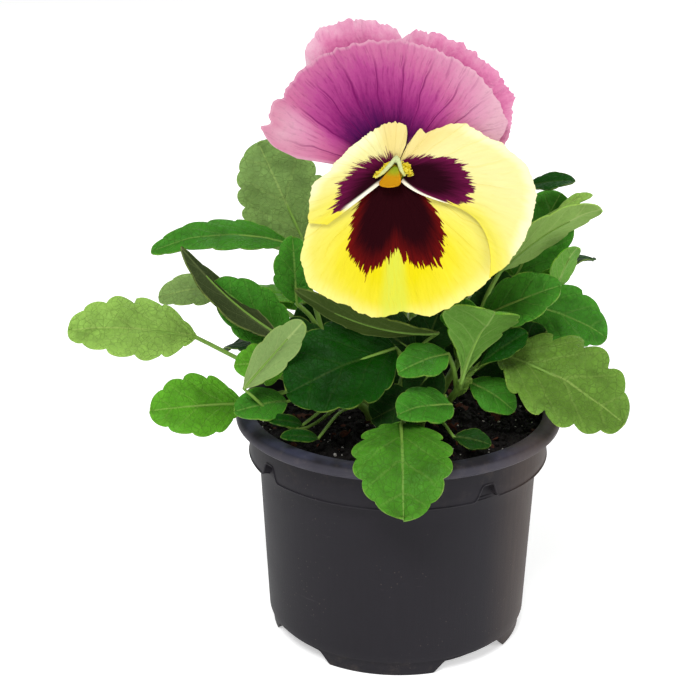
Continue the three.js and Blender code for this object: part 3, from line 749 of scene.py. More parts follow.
def lower_petal_paint(settings):
    """Deep yellow velvet with a lemon ruffled margin and a maroon-black blotch."""
    paint = PetalPaint("deep_yellow_petal")
    colour = yellow_velvet(paint, settings)
    margin = margin_mask(paint, 5, 0.3, (0.8, 1.4))
    colour = paint.blend(margin * 0.4, colour, srgb(251, 242, 158))
    colour = paint.blend(paint.band * (0.35 + paint.wide * 0.7), colour, srgb(202, 212, 78))
    colour = paint.blend(paint.rise(paint.fine, 0.5, 0.68) * 0.2, colour, srgb(232, 212, 26))
    veins = ray_veins(paint, 4.6, 0.05)
    colour = paint.blend(veins * 0.3, colour, srgb(222, 196, 36))
    colour, mask = with_blotch(paint, colour, settings.blotch, srgb(112, 14, 10))
    return finish_yellow(paint, colour, veins, mask)


def upper_petal_paint(settings):
    """Mauve velvet: deep purple at the throat, magenta over it and pink at the margins."""
    paint = PetalPaint("mauve_petal")
    wide, fine = paint.wide, paint.fine
    dash = paint.rays(30, 0.42, 1.6, 3, 0.7)
    where = paint.tone + (wide - 0.5) * 0.24 + (fine - 0.5) * 0.12 + (dash - 0.5) * 0.2
    colour = paint.shades(
        where,
        [
            (0.3, srgb(62, 12, 74)), (0.45, srgb(104, 22, 90)), (0.6, srgb(152, 44, 118)),
            (0.78, settings.mauve), (0.95, srgb(208, 112, 160)), (1.15, srgb(222, 146, 180)),
            (1.5, srgb(232, 178, 196)),
        ],
    )
    colour = paint.blend(paint.rise(paint.radius, 12, 8), colour, srgb(168, 92, 150))
    reddish = paint.rise(paint.edge, 9, 1) * paint.rise(paint.turn, 2.35, 2.6) * (0.3 + wide)
    colour = paint.blend(reddish * 0.6, colour, srgb(206, 104, 146))
    colour = paint.blend(paint.rise(paint.edge, 1.2, 0.2) * 0.5, colour, srgb(236, 184, 202))
    colour = paint.blend(paint.rise(dash, 0.52, 0.7) * 0.3, colour, paint.tinted(colour, 0.6))
    colour = paint.tinted(colour, 0.8)
    veins = ray_veins(paint, 3.7, 0.045)
    strong = 0.25 + paint.rise(paint.tone, 1.5, 0.7) * 0.5
    colour = paint.blend(veins * strong, colour, srgb(112, 14, 86))
    return paint.velvet(colour, fine * 0.5 + dash * 0.5 + wide * 0.3 - veins * 0.4, 0.24)


def back_petal_paint():
    """The hindmost petal: mottled pink, deeper where the front one shades it."""
    paint = PetalPaint("pink_mauve_petal")
    turn = paint.turn
    dash = paint.rays(22, 0.4, 1.6, 3, 0.7)
    cloud = paint.rays(7, 0.16, 1.5, 3)
    where = paint.edge * 0.13 + (cloud - 0.5) * 1.1 + (dash - 0.5) * 0.5
    where = where - paint.rise(turn, 2.0, 2.35) * 0.5 + paint.rise(turn, 1.5, 1.2) * 0.3
    colour = paint.shades(
        where,
        [
            (-0.3, srgb(244, 200, 216)), (0.2, srgb(236, 162, 194)), (0.65, srgb(224, 130, 174)),
            (1.1, srgb(200, 88, 146)), (1.5, srgb(160, 50, 118)),
        ],
    )
    colour = paint.tinted(colour, 0.84)
    veins = ray_veins(paint, 3.1, 0.04)
    colour = paint.blend(veins * 0.3, colour, srgb(150, 46, 110))
    height = paint.fine * 0.4 + dash * 0.6 + cloud * 1.2 - veins * 0.3
    return paint.velvet(colour, height, 0.45)


def petal_back_paint(name, light, streaked):
    """The back of a petal: paler, with the rays and the blotch showing through."""
    paint = PetalPaint(name)
    veins = ray_veins(paint, 5, 0.05)
    rays = paint.rise(paint.fine * 0.5 + paint.wide * 0.5, 0.4, 0.65)
    colour = paint.blend(rays * 0.6, light, streaked)
    colour = paint.blend(veins * 0.4, colour, streaked)
    blotch = paint.rise(paint.inside + (paint.fine - 0.5) * 5, -2, 6)
    colour = paint.blend(blotch * 0.28, colour, srgb(96, 52, 60))
    colour = paint.blend(paint.rise(paint.out, 0.3, 0.05) * 0.5, colour, srgb(190, 205, 120))
    return paint.velvet(colour, paint.fine + veins * 0.6, 0.16)


def throat_paint(settings):
    """Orange velvet that turns green towards the stigma, its height and side noted on it."""
    paint = Paint("orange_throat", Specular_IOR_Level=0.1)
    place = paint.place()
    high, aside, _ = paint.parts(paint.layer("lip"))
    fuzz = paint.noise(place, 2.2, 4, 0.7)
    where = high + (fuzz - 0.5) * 0.5
    colour = paint.shades(
        where,
        [
            (-1.0, srgb(222, 152, 18)), (-0.75, settings.orange), (0.0, srgb(188, 134, 4)),
            (0.45, srgb(150, 152, 20)), (0.9, srgb(128, 150, 30)),
        ],
    )
    colour = paint.blend(paint.rise(abs(aside), 0.7, 1.0) * 0.4, colour, srgb(222, 136, 10))
    return paint.finish(colour, 0.7, paint.bump(fuzz, 0.3))


def stigma_paint():
    """Pale grey-green flesh with yellower lower ends."""
    paint = Paint("pale_stigma", Specular_IOR_Level=0.15)
    place = paint.place()
    _, _, z = paint.parts(place)
    fuzz = paint.noise(place, 1.8, 3, 0.6)
    colour = paint.blend(paint.rise(z, 158.2, 163), srgb(214, 208, 92), srgb(196, 206, 148))
    colour = paint.tinted(colour, 0.72 + fuzz * 0.5)
    return paint.finish(colour, 0.6, paint.bump(fuzz, 0.25))


def beard_paint():
    """The short yellow hairs on both sides of the throat."""
    paint = Paint("yellow_beard", Specular_IOR_Level=0.15)
    tone = paint.noise(paint.place(), 1.4, 2)
    colour = paint.blend(paint.rise(tone, 0.4, 0.62), srgb(214, 190, 16), srgb(244, 232, 90))
    return paint.finish(colour, 0.6 + tone * 0.1)


def floor_paint(settings):
    """Plain pale paper on a light table."""
    white = (1.0, 1.0, 1.0, 1.0)
    paint = Paint("pale_floor", IOR=1.45, Emission_Color=white, Emission_Strength=settings.glow)
    fibre = paint.noise(paint.place(), 0.03, 3)
    colour = paint.tinted(settings.floor, 0.985 + fibre * 0.03)
    return paint.finish(colour, 0.9 + fibre * 0.05)


# ---- Pot ----

# Right half of the pot's section, as radius and height: up the inside, over the rolled lip,
# down the collar and body, under the foot and the floor, to the foot in the middle.
POT_SECTION = [
    (0, 4.6), (40.9, 4.6), (41.35, 4.9), (41.5, 5.6), (44, 57.6), (44.3, 59), (45.2, 60.8),
    (46.4, 62.8), (46.95, 64.2), (47.1, 65.6), (47.1, 72), (46.9, 73.6), (46.6, 74.8),
    (46.8, 75.45), (47.5, 75.85), (48.6, 76), (49.8, 75.9), (50.9, 75.55), (51.8, 74.9),
    (52.35, 74.1), (52.5, 73.3), (52.35, 72.6), (51.8, 72.05), (50.7, 71.75), (49.4, 71.55),
    (48.7, 71.3), (48.35, 70.8), (48.3, 70), (48.3, 64.3), (48.3, 61.3), (48.1, 60.9),
    (47.6, 60.7), (46, 60.4), (45.45, 60.1), (45.2, 59.4), (44.9, 54), (42.75, 8.6),
    (42.62, 6), (42.4, 5.3), (41.9, 5.05), (41.5, 4.9), (41.3, 4.5), (41.3, 0.5), (41.15, 0.12),
    (40.8, 0), (39.3, 0), (39, 0.12), (38.9, 0.5), (38.9, 3.1), (38.75, 3.35), (38.4, 3.4),
    (5.5, 3.4), (5.1, 3.2), (5, 2.8), (5, 0.4), (4.9, 0.1), (4.6, 0), (0, 0),
]
NOTCHES = [-55, 35, 125, 215]  # degrees round the pot
DRAIN_GAPS = [-52, 39, 129, 219]
# A gap in the foot ring, seen from outside.
GAP_OUTLINE = [
    (-15.8, -2), (15.8, -2), (14.7, 0), (14.4, 0.4), (11.7, 3.2), (11, 3.7), (10.2, 3.95), (8, 4.1),
    (-8, 4.1), (-10.2, 3.95), (-11, 3.7), (-11.7, 3.2), (-14.4, 0.4), (-14.7, 0),
]
GAP_WIDTH = 50  # degrees, for the block that the outline is cut from
HOLE_WIDTH = 12  # degrees
INNER_RIB_WIDTH = 40  # degrees
INNER_RIB_LEVELS = (1.6, 3.9)
RING_INSIDE = 38.9  # radius of the foot ring's inside
FOOT_HEIGHT = 5
COLLAR_FOOT = 61  # height of the collar's lower edge
COLLAR_RADIUS = 48.3
BODY_RADIUS = 45.15  # of the body where the collar meets it
POCKET_HALF = 6.5  # half the width of the thick wall behind a notch
POCKET_INSIDE = 43.7  # its inner radius
POCKET_STEPS = ((COLLAR_FOOT - 3, BODY_RADIUS - 0.6), (COLLAR_FOOT, 47.5))  # foot, outer radius
OUTSIDE = 60  # a radius clear of the pot
UNDERGROUND = -1  # a level clear of the pot
POT_STEPS = 160  # round the axis
COLLAR_STEPS = 24  # of the collar's edge, from one notch to the next
BEAD_RADIUS = 0.32  # of the collar's rounded edge


def turned(name, section, steps):
    """A body of revolution round the pot's axis, from a section whose ends lie on the axis."""
    body = ring(name, [(radius, 0, height) for radius, height in section], False)
    last = len(section) - 1
    pick(body)
    bpy.ops.object.mode_set(mode="EDIT")
    bpy.ops.mesh.select_mode(type="EDGE")
    bpy.ops.object.mode_set(mode="OBJECT")
    for vertex in body.data.vertices:
        vertex.select = False
    for edge in body.data.edges:
        edge.select = set(edge.vertices) == {0, last}
    bpy.ops.object.mode_set(mode="EDIT")
    bpy.ops.mesh.delete(type="EDGE")
    bpy.ops.mesh.select_mode(type="VERT")
    bpy.ops.mesh.select_all(action="SELECT")
    bpy.ops.mesh.spin(steps=steps, angle=2 * math.pi, center=(0, 0, 0), axis=(0, 0, 1))
    bpy.ops.object.mode_set(mode="OBJECT")
    merge_points(body, 0.01 * MM)
    return body


def notch_side(top):
    """The outline of a notch in the collar's lower edge, seen from outside, left to right."""
    return [
        (-5.6, COLLAR_FOOT), (-4.7, COLLAR_FOOT + 0.3), (-4, COLLAR_FOOT + 1.2),
        (-3.3, COLLAR_FOOT + 2.6), (-2.6, top - 0.8), (-1.9, top - 0.15), (-1.1, top),
        (0.9, top), (1.7, top - 0.15), (2.2, top - 0.8), (2.7, COLLAR_FOOT + 2.6),
        (3.3, COLLAR_FOOT + 1.2), (4.1, COLLAR_FOOT + 0.2), (4.8, COLLAR_FOOT),
    ]


def collar_edge(top):
    """The line along the collar's lower edge, up and over its notches and round again."""
    side = notch_side(top)
    line = []
    for angle, following in zip(NOTCHES, [*NOTCHES[1:], NOTCHES[0] + 360]):
        for across, height in side:
            line.append((math.radians(angle) + across / COLLAR_RADIUS, height))
        start = line[-1][0]
        end = math.radians(following) + side[0][0] / COLLAR_RADIUS
        between = (mix(start, end, k / COLLAR_STEPS) for k in range(1, COLLAR_STEPS))
        line.extend((turn, COLLAR_FOOT) for turn in between)
    radius = COLLAR_RADIUS - 0.05
    bead = [Vector((radius * math.cos(t), radius * math.sin(t), z + 0.15)) for t, z in line]
    return [*bead, bead[0]]


class PANSY_OT_pot(bpy.types.Operator):
    """Make the nursery pot with its rolled lip, notched collar, feet and drain holes"""

    bl_idname = "pansy.pot"
    bl_label = "Pot"

    def execute(self, context):
        settings = context.scene.pansy_pot
        wall = settings.wall / MM
        top = settings.notch_height / MM
        pot = turned("nursery_pot", POT_SECTION, POT_STEPS)
        ring_wall = (RING_INSIDE - 0.5, OUTSIDE, UNDERGROUND, FOOT_HEIGHT - 0.9)
        hole_walls = (RING_INSIDE - 12, RING_INSIDE - 3, UNDERGROUND, 8)
        rib_walls = (RING_INSIDE - 0.8 - wall, RING_INSIDE - 0.8, *INNER_RIB_LEVELS)
        for angle in DRAIN_GAPS:
            gap = sector("gap", *ring_wall, angle, GAP_WIDTH)
            sides = radial_block("sides", GAP_OUTLINE, RING_INSIDE / 2, OUTSIDE + 2, angle)
            cut(gap, sides, "INTERSECT")
            cut(pot, gap)
            cut(pot, sector("hole", *hole_walls, angle, HOLE_WIDTH))
            cut(pot, sector("rib", *rib_walls, angle, INNER_RIB_WIDTH), "UNION")
        for angle in NOTCHES:
            for low, outer in POCKET_STEPS:
                edges = ((-POCKET_HALF, low), (POCKET_HALF, low))
                pocket = [*edges, (POCKET_HALF, top + 2), (-POCKET_HALF, top + 2)]
                cut(pot, radial_block("pocket", pocket, POCKET_INSIDE, outer, angle), "UNION")
            notch = [*notch_side(top), (4.8, COLLAR_FOOT - 1.2), (-5.6, COLLAR_FOOT - 1.2)]
            cut(pot, radial_block("notch", notch, BODY_RADIUS, OUTSIDE, angle))
        bead = collar_edge(top)
        edge = strands("collar_edge", [(bead, [BEAD_RADIUS] * len(bead))], sides=1)
        plastic = plastic_paint(settings)
        shade(pot, 32)
        dress(pot, ["pot"], [plastic])
        dress(edge, ["pot"], [plastic])
        return {"FINISHED"}


# ---- Soil ----

SOIL_RADIUS = 46.2
SOIL_LEVEL = 70.5  # at the pot's wall
SOIL_MOUND = 2  # how much higher it is in the middle
SOIL_STEPS = 150
# Radius and height of the soil's side, from its rim down to the pot's floor.
SOIL_SIDE = ((46.1, 68.6), (43.2, 68.2), (43.2, 57), (41, 5.2))


def soil_height(x, y):
    """The height of the soil, with soft lumps and small crumbs."""
    share = math.hypot(x, y) / COLLAR_RADIUS
    lumps = math.sin(0.31 * x + 1) * math.cos(0.27 * y) + 0.6 * math.sin(0.53 * y + 0.4 * x)
    crumbs = noise.fractal(Vector((x, y, 0)) * 0.32, 0.7, 2.2, 5)
    grains = noise.cell(Vector((x, y, 4)) * 0.9) - 0.5
    mound = SOIL_MOUND * (1 - share * share)
    return SOIL_LEVEL + mound + 0.7 * lumps + 0.9 * crumbs + 0.25 * grains


def soil_point(u, v):
    """A point of the soil's top, with the square sheet drawn in to a round one."""
    x, y = 2 * u - 1, 2 * v - 1
    longest = max(abs(x), abs(y))
    reach = math.hypot(x, y)
    scale = SOIL_RADIUS * longest / reach if reach else 0
    x, y = x * scale, y * scale
    return x, y, soil_height(x, y)


def grain_places(count, sizes, flat, raised, seed):
    """Turned and squashed places for grains lying in the soil."""
    draw = random.Random(seed)
    places = []
    while len(places) < count:
        radius = (SOIL_RADIUS - 1.2) * math.sqrt(draw.random())
        turn = draw.uniform(0, 2 * math.pi)
        x, y = radius * math.cos(turn), radius * math.sin(turn)
        size = mix(*sizes, draw.random() ** 2)
        turned_by = draw.uniform(0, 6.3)
        spin = Matrix.Rotation(turned_by, 4, Vector([draw.gauss(0, 1) for _ in range(3)]))
        breadth, height = draw.uniform(0.6, 1), draw.uniform(*flat)
        stretch = Matrix.Diagonal((size, size * breadth, size * height, 1))
        spot = Vector((x, y, soil_height(x, y) + size * raised)) * MM
        places.append(Matrix.Translation(spot) @ spin @ stretch)
    return places


def pebble(name, seed):
    """A small angular grain of twenty faces, one millimetre in radius."""
    deselect_all()
    bpy.ops.mesh.primitive_ico_sphere_add(subdivisions=1, radius=MM)
    grain = bpy.context.object
    grain.name = name
    draw = random.Random(seed)
    for vertex in grain.data.vertices:
        vertex.co *= draw.uniform(0.7, 1.15)
    return grain


class PANSY_OT_soil(bpy.types.Operator):
    """Make the potting soil, with loose crumbs, bits of bark and white perlite"""

    bl_idname = "pansy.soil"
    bl_label = "Soil"

    def execute(self, context):
        settings = context.scene.pansy_soil
        points = [soil_point(u, v) for u, v in grid_shares(SOIL_STEPS, SOIL_STEPS)]
        soil = sheet("soil_bed", SOIL_STEPS, SOIL_STEPS, points)
        pick(soil)
        bpy.ops.object.mode_set(mode="EDIT")
        bpy.ops.mesh.select_all(action="SELECT")
        bpy.ops.mesh.region_to_loop()
        for radius, height in SOIL_SIDE:
            bpy.ops.mesh.extrude_edges_move()
            bpy.ops.object.mode_set(mode="OBJECT")
            for vertex in soil.data.vertices:
                if vertex.select:
                    flat = vertex.co.xy.normalized() * radius * MM
                    vertex.co = (*flat, height * MM)
            bpy.ops.object.mode_set(mode="EDIT")
        bpy.ops.mesh.edge_face_add()
        bpy.ops.object.mode_set(mode="OBJECT")
        merge_points(soil, 0.01 * MM)
        shade(soil, 60)
        dress(soil, ["soil"], [soil_paint(settings)])

        peat, bark = Vector(settings.peat), Vector(settings.bark)
        crumb = grain_paint("crumb", peat * 1.9, peat * 0.6, 0.85)
        perlite = grain_paint("perlite", srgb(206, 202, 196), srgb(140, 136, 130), 0.75)
        chip = grain_paint("bark_chip", bark, bark * 0.35, 0.8)
        # Each kind: how many, how large, how flat, how far they stand out, and their material.
        loose = {
            "soil_crumbs": (settings.crumbs, (0.45, 1.5), (0.5, 0.9), 0.25, crumb),
            "perlite_grains": (settings.perlite, (0.3, 0.75), (0.6, 1.0), 0.5, perlite),
            "bark_chips": (settings.chips, (0.9, 2.6), (0.12, 0.3), 0.3, chip),
        }
        for seed, (name, (count, sizes, flat, raised, material)) in enumerate(loose.items()):
            places = grain_places(count, sizes, flat, raised, seed + 11)
            grains = copies(name, pebble("grain", seed), places)
            dress(grains, ["soil"], [material])
        return {"FINISHED"}


# ---- Leaves ----

# How the width of a blade runs from its neck, 0, to its tip, 1: a larger swell puts the widest
# place nearer the tip, and a smaller second or third number makes the neck or the tip blunter.
OUTLINES = {
    "oval": (1, 0.8, 0.45),
    "round": (1, 0.62, 0.42),
    "long": (0.85, 0.9, 0.7),
    "fan": (1.9, 0.85, 0.42),
    "funnel": (3.5, 0.5, 0.3),
}
NOTCH_DEPTH = 0.12  # of the half width, between two rounded teeth
NARROW = 12  # a blade under this width gets fewer points
STEM_DEPTH = 14  # how far the stems reach into the soil
STEM_RADII = [1.5, 1.45, 1.35, 1.15]
STALK_STEPS = 12
MIDRIB_STEP = 0.06  # of the blade's length
MIDRIB_SUNK = 0.34  # how far its middle lies under the blade

# The green of each kind of leaf, and how strongly its veins show.
GREENS = {
    "deep": (srgb(12, 60, 4), 0.12),
    "mid": (srgb(58, 122, 32), 0.6),
    "fresh": (srgb(82, 146, 33), 0.8),
    "lime": (srgb(130, 169, 74), 1.0),
    "olive": (srgb(92, 128, 46), 1.0),
    "light": (srgb(74, 126, 26), 0.6),
    "leafy": (srgb(66, 124, 30), 0.8),
    "brown": (srgb(58, 78, 24), 0.2),
    "dusky": (srgb(40, 52, 22), 0.25),
    "grey": (srgb(110, 142, 74), 0.8),
    # Painted shade: a near-black green for the leaves deep among the others.
    "shade": (srgb(20, 56, 12), 0.3),
    "pale": (srgb(118, 148, 80), 0.8),
}


def leaf(neck, tip, width, face, green="fresh", **options):
    """The ends of a blade, its width, and where its upper side looks. arch and wave are shares
    of its size, fold is in degrees, and bow is how far its stalk rises, as a share of the way.
    teeth counts those of one side, depth makes them deeper, and start is where along the stem
    the stalk leaves it."""
    usual = {
        "arch": 0.08, "fold": 12, "wave": 0.04, "teeth": 4, "depth": 1, "outline": "oval",
        "start": 1, "bow": 0.12,
    }
    ends = {"neck": neck, "tip": tip, "width": width, "face": face, "green": green}
    return {**usual, **ends, **options}


def broad(neck, tip, width, face, green, **options):
    """A leaf with a round blade and many teeth."""
    return leaf(neck, tip, width, face, green, **{"teeth": 6, "outline": "round", **options})


# Each leafy stem: where it leaves the soil, where it ends, and its leaves.
LEAFY_STEMS = {
    "left_low": {
        "root": (-9, -8),
        "top": (-15, -14, 84),
        "stipules": True,
        "leaves": [
            leaf(
                (-63, -13, 102.5), (-101, -22, 107.5), 23, (0, -0.65, 0.75), "lime",
                teeth=6, depth=1.7, bow=-0.05,
            ),
            leaf(
                (-48, -22, 84), (-75, -34, 86), 21, (0, -0.8, 0.6), "fresh",
                teeth=5, depth=1.3, start=0.7,
            ),
            leaf((-34, -27, 87), (-49, -37, 87.5), 12, (0, -0.7, 0.7), "mid", teeth=3, start=0.8),
            leaf((-35, -18, 95), (-50, -25, 98), 14, (0, -0.8, 0.6), "fresh", start=0.9),
            leaf((-46, -37, 95), (-28, -39, 117), 11, (0.3, 0.85, 0.2), "pale", fold=20, bow=-0.3),
            leaf((-29, -31, 81), (-39, -36, 84.5), 5, (0, -0.6, 0.8), "deep", teeth=2, start=0.6),
            leaf((-24, -34, 78), (-35, -39, 80.5), 5, (0, -0.6, 0.8), "deep", teeth=2, start=0.5),
        ],
    },
    "left_high": {
        "root": (-11, 2),
        "top": (-24, 0, 97),
        "leaves": [
            leaf((-34, 0, 129), (-76, -12, 130), 13, (0, -0.55, 0.8), "mid", arch=0.14, teeth=7),
            leaf((-56, 18, 108), (-79, 16, 106), 15, (0, -0.5, 0.85), "pale", start=0.8),
            leaf((-34, -8, 99), (-57, -14, 121), 18, (-0.2, -0.8, 0.6), "mid", teeth=5, start=0.9),
            leaf(
                (-36, -19, 105), (-66, -17, 133), 11, (-0.6, 0.5, -0.5), "dusky",
                fold=25, outline="long",
            ),
            leaf((-32, -7, 112), (-33, -8, 134), 14, (0.1, -0.95, 0.2), "mid"),
            leaf((-22, -5, 92), (-41, -10, 105), 17, (0, -0.8, 0.6), "shade", start=0.8),
            leaf((-22, 5, 92), (-31, 4, 108), 18, (0, -0.8, 0.6), "shade", teeth=3, start=0.7),
        ],
    },
    "back_left": {
        "root": (-6, 11),
        "top": (-14, 18, 100),
        "leaves": [
            broad((-29, 18, 120), (-46, 25, 156), 29, (0, -0.9, 0.35), "grey", teeth=9),
            leaf((-30, 34, 98), (-61, 48, 96), 25, (-0.2, 0.2, 0.9), "fresh", teeth=5, start=0.8),
            leaf((-26, 40, 92), (-48, 62, 84), 24, (-0.3, 0.5, 0.8), arch=0.15, teeth=5, start=0.6),
            leaf((-16, 34, 116), (-28, 62, 128), 24, (0, -0.3, 0.9), "deep", teeth=5),
            leaf((-36, 14, 90), (-58, 34, 82), 20, (-0.3, 0.1, 0.9), "deep", start=0.7),
        ],
    },
    "front": {
        "root": (-1, -9),
        "top": (2, -12, 92),
        "leaves": [
            broad((-1, -22, 103), (-33, -38, 94), 30, (0, -0.75, 0.66), "deep"),
            leaf((12, -19, 107), (-31, -27, 123), 11, (0, 0.8, 0.6), "brown", arch=-0.1, teeth=5),
            leaf((5, -9, 97), (-15, -14, 110), 19, (0, -0.7, 0.7), "shade", start=0.9),
            leaf((7, -2, 85), (-3, -5, 99), 17, (0, -0.8, 0.6), "shade", teeth=3, start=0.6),
            leaf((8, -7, 96), (13, -8, 112), 15, (0, -0.8, 0.6), "shade", teeth=3),
        ],
    },
    "front_low": {
        "root": (7, -16),
        "top": (10, -22, 84),
        "stipules": True,
        "leaves": [
            broad((16, -28, 87), (0, -40, 88.5), 16, (0, -0.5, 0.85), "mid", teeth=3),
            broad(
                (1, -36, 84), (2, -64, 66), 30, (0, -0.6, 0.8), "leafy",
                arch=0.16, depth=1.5, start=0.7,
            ),
            leaf((6, -24, 87), (-8, -31, 83), 18, (0, -0.7, 0.7), "shade", teeth=3, start=0.6),
            leaf((12, -19, 97), (4, -24, 87), 15, (0, -0.8, 0.6), "shade", teeth=3, bow=0.5),
            leaf((17, -34, 79), (28, -36, 77.5), 8, (0, -0.5, 0.85), "shade", teeth=3, start=0.6),
        ],
    },
    "right_low": {
        "root": (14, -6),
        "top": (19, -18, 89),
        "stipules": True,
        "leaves": [
            leaf(
                (19, -27, 94), (28, -31, 118), 27, (-0.35, 0.85, 0.2), "light",
                fold=24, teeth=5, outline="funnel",
            ),
            leaf((15, -24, 102), (0, -33, 99), 14, (0, -0.5, 0.85), "mid", teeth=3, start=0.9),
            leaf((22, -16, 90), (36, -20, 82), 13, (0.2, -0.6, 0.7), "mid", teeth=3, start=0.7),
            broad(
                (31, -12, 98), (69, -27, 81), 32, (0.25, -0.7, 0.65), "olive",
                arch=0.12, depth=1.9, start=0.9,
            ),
            leaf((23, -22, 96), (39, -21, 108), 9, (0, -0.6, 0.8), "deep", teeth=3, outline="fan"),
        ],
    },
    "right_high": {
        "root": (13, 5),
        "top": (24, 2, 99),
        "leaves": [
            leaf((36, 5, 110), (66, 1, 99), 23, (0.2, -0.6, 0.75), "mid", teeth=5, start=0.9),
            leaf((26, -9, 109), (49, -14, 121), 16, (0, -0.8, 0.6), "mid", outline="round"),
            leaf((32, 7, 119), (62, 2, 141), 16, (-0.4, 0.8, 0.4), "lime", teeth=5),
            leaf((50, 9, 112), (56, 7, 127), 11, (-0.5, 0.8, 0.2), "fresh", teeth=3, start=0.9),
            leaf((19, -11, 105), (19, -17, 118), 13, (0, -0.7, 0.7), "mid", teeth=3, start=0.9),
            leaf((24, -3, 88), (46, -8, 104), 18, (0, -0.7, 0.7), "shade", start=0.7),
            leaf((33, 7, 96), (29, 10, 119), 19, (0, -0.8, 0.6), "shade", teeth=3, start=0.7),
            leaf((19, 6, 88), (14, 7, 109), 18, (0, -0.8, 0.6), "shade", teeth=3, start=0.6),
        ],
    },
    "back_right": {
        "root": (7, 13),
        "top": (18, 21, 103),
        "leaves": [
            leaf((38, 20, 113), (52, 25, 140), 23, (0, -0.8, 0.6), "mid"),
            leaf((34, 24, 104), (53, 27, 122), 22, (0, -0.8, 0.6), "fresh", start=0.8),
            leaf((40, 17, 144), (55, 14, 146.5), 8, (0, -0.5, 0.85), "deep", teeth=3),
            leaf((50, 12, 138), (60, 8, 143.5), 5, (0, -0.5, 0.85), "lime", teeth=3),
            leaf((36, 30, 107), (66, 44, 112), 25, (0.2, 0.2, 0.9), "deep", teeth=5, start=0.85),
            leaf((28, 38, 92), (46, 62, 82), 24, (0.3, 0.5, 0.8), arch=0.15, teeth=5, start=0.6),
            leaf((20, 36, 118), (34, 62, 130), 24, (0, -0.3, 0.9), "fresh", teeth=5),
        ],
    },
    "back": {
        "root": (0, 16),
        "top": (2, 27, 100),
        "leaves": [
            leaf((2, 38, 108), (3, 70, 112), 26, (0, 0.2, 0.9), "fresh", teeth=5, start=0.9),
            broad((2, 30, 126), (-6, 34, 158), 26, (0, -0.9, 0.3), "deep", teeth=5),
            leaf(
                (0, 40, 88), (0, 66, 74), 26, (0, 0.6, 0.8), "olive",
                arch=0.2, teeth=5, start=0.5,
            ),
        ],
    },
}


class Blade:
    """The middle surface of one leaf blade."""

    def __init__(self, shape, quilting, seed):
        self.shape = shape
        self.neck = Vector(shape["neck"])
        chord = Vector(shape["tip"]) - self.neck
        self.length = chord.length
        self.forward = chord.normalized()
        up = Vector(shape["face"])
        self.up = (up - self.forward * up.dot(self.forward)).normalized()
        self.side = self.forward.cross(self.up)
        self.quilting = quilting * min(shape["width"] / 22, 1.2)
        self.seed = seed
        draw = random.Random(seed)
        deep = NOTCH_DEPTH * shape["depth"]
        self.depths = [deep * draw.uniform(0.65, 1.25) for _ in range(2 * shape["teeth"] + 4)]

    def half_width(self, along):
        """Half the blade's width, a share of the way from neck to tip."""
        swell, neck_end, tip_end = OUTLINES[self.shape["outline"]]
        rise = max(math.sin(math.pi * min(along, 1) ** swell), 0)
        return self.shape["width"] / 2 * rise ** mix(neck_end, tip_end, along)

    def tooth(self, share, across):
        """How far the edge is cut back here, as a share of the half width."""
        teeth = self.shape["teeth"]
        place = share * (teeth + 1) - 0.5
        if place < 1:
            within, number = (place + 0.5) / 1.5, 0
        elif place >= teeth - 1:
            within, number = (place - teeth + 1) / 1.5, teeth - 1
        else:
            within, number = place % 1, int(place)
        round_top = math.sqrt(max(math.sin(math.pi * min(max(within, 0), 1) ** 1.5), 0))
        depth = self.depths[number + (teeth + 1 if across > 0 else 0)]
        ends = smooth(0, 0.16, share) * smooth(0, 0.1, 1 - share)
        return depth * (1 - round_top) * ends

    def point(self, along, across):
        """The plain surface, without teeth and relief."""
        return self.bent(along, across, self.half_width(along) * across, 0)

    def bent(self, along, across, x, relief):
        """Puts a point of the flat blade in its place, with the blade's own bends."""
        shape = self.shape
        swing = 2.4 * math.pi * along + (1 if across > 0 else 2.6)
        ripple = shape["wave"] * shape["width"] * math.sin(swing) * across * across
        bow = 4 * shape["arch"] * self.length * along * (1 - along)
        slope = math.tan(math.radians(shape["fold"])) * abs(x) * (1 - 0.5 * abs(across))
        place = self.neck + self.forward * (self.length * along) + self.side * x
        return place + self.up * (bow + slope + ripple + relief)

    def detail(self, share, across):
        """A point with its teeth, quilting and small unevenness, and its place on the blade."""
        along = 0.5 - 0.5 * math.cos(math.pi * share)
        half = max(self.half_width(along), 0.45 * (1 - smooth(0, 0.2, share)))
        reach = abs(across)
        cut_back = self.tooth(share, across) * reach**6
        x = half * (across - math.copysign(cut_back, across))
        run = (along - reach**1.2 * (1 - along) * VEIN_SWEEP) * VEINS
        swell = (0.5 + 0.5 * math.cos(2 * math.pi * run)) * smooth(0, 0.3, reach) * (1 - reach**4)
        groove = math.exp(-((x / 0.9) ** 2)) * (1 - along)
        uneven = noise.noise(Vector((x * 0.11, along * self.length * 0.11, self.seed * 3.7)))
        fine = noise.noise(Vector((x * 0.45, along * self.length * 0.45, self.seed * 1.3)))
        relief = self.quilting * (swell - 1.1 * groove + 0.35 * fine)
        relief = (relief + 0.05 * self.shape["width"] * uneven) * smooth(0, 0.12, share)
        where = (x, along * self.length, half * (1 - reach))
        return self.bent(along, across, x, relief), where


def leaf_blade(name, shape, settings, seed):
    """One blade with its green, its place and its edge noted for the leaf materials."""
    slim = shape["width"] < NARROW
    columns = 16 if slim else 28
    rows = (shape["teeth"] + 1) * (8 if slim else 12)
    form = Blade(shape, settings.quilting / MM, seed)
    points, where = zip(*(form.detail(v, 2 * u - 1) for u, v in grid_shares(columns, rows)))
    grid = sheet(name, columns, rows, points)
    note(grid, "blade", where)
    green, veins = GREENS[shape["green"]]
    note(grid, "green", [(*green, veins)] * len(points))
    return grid


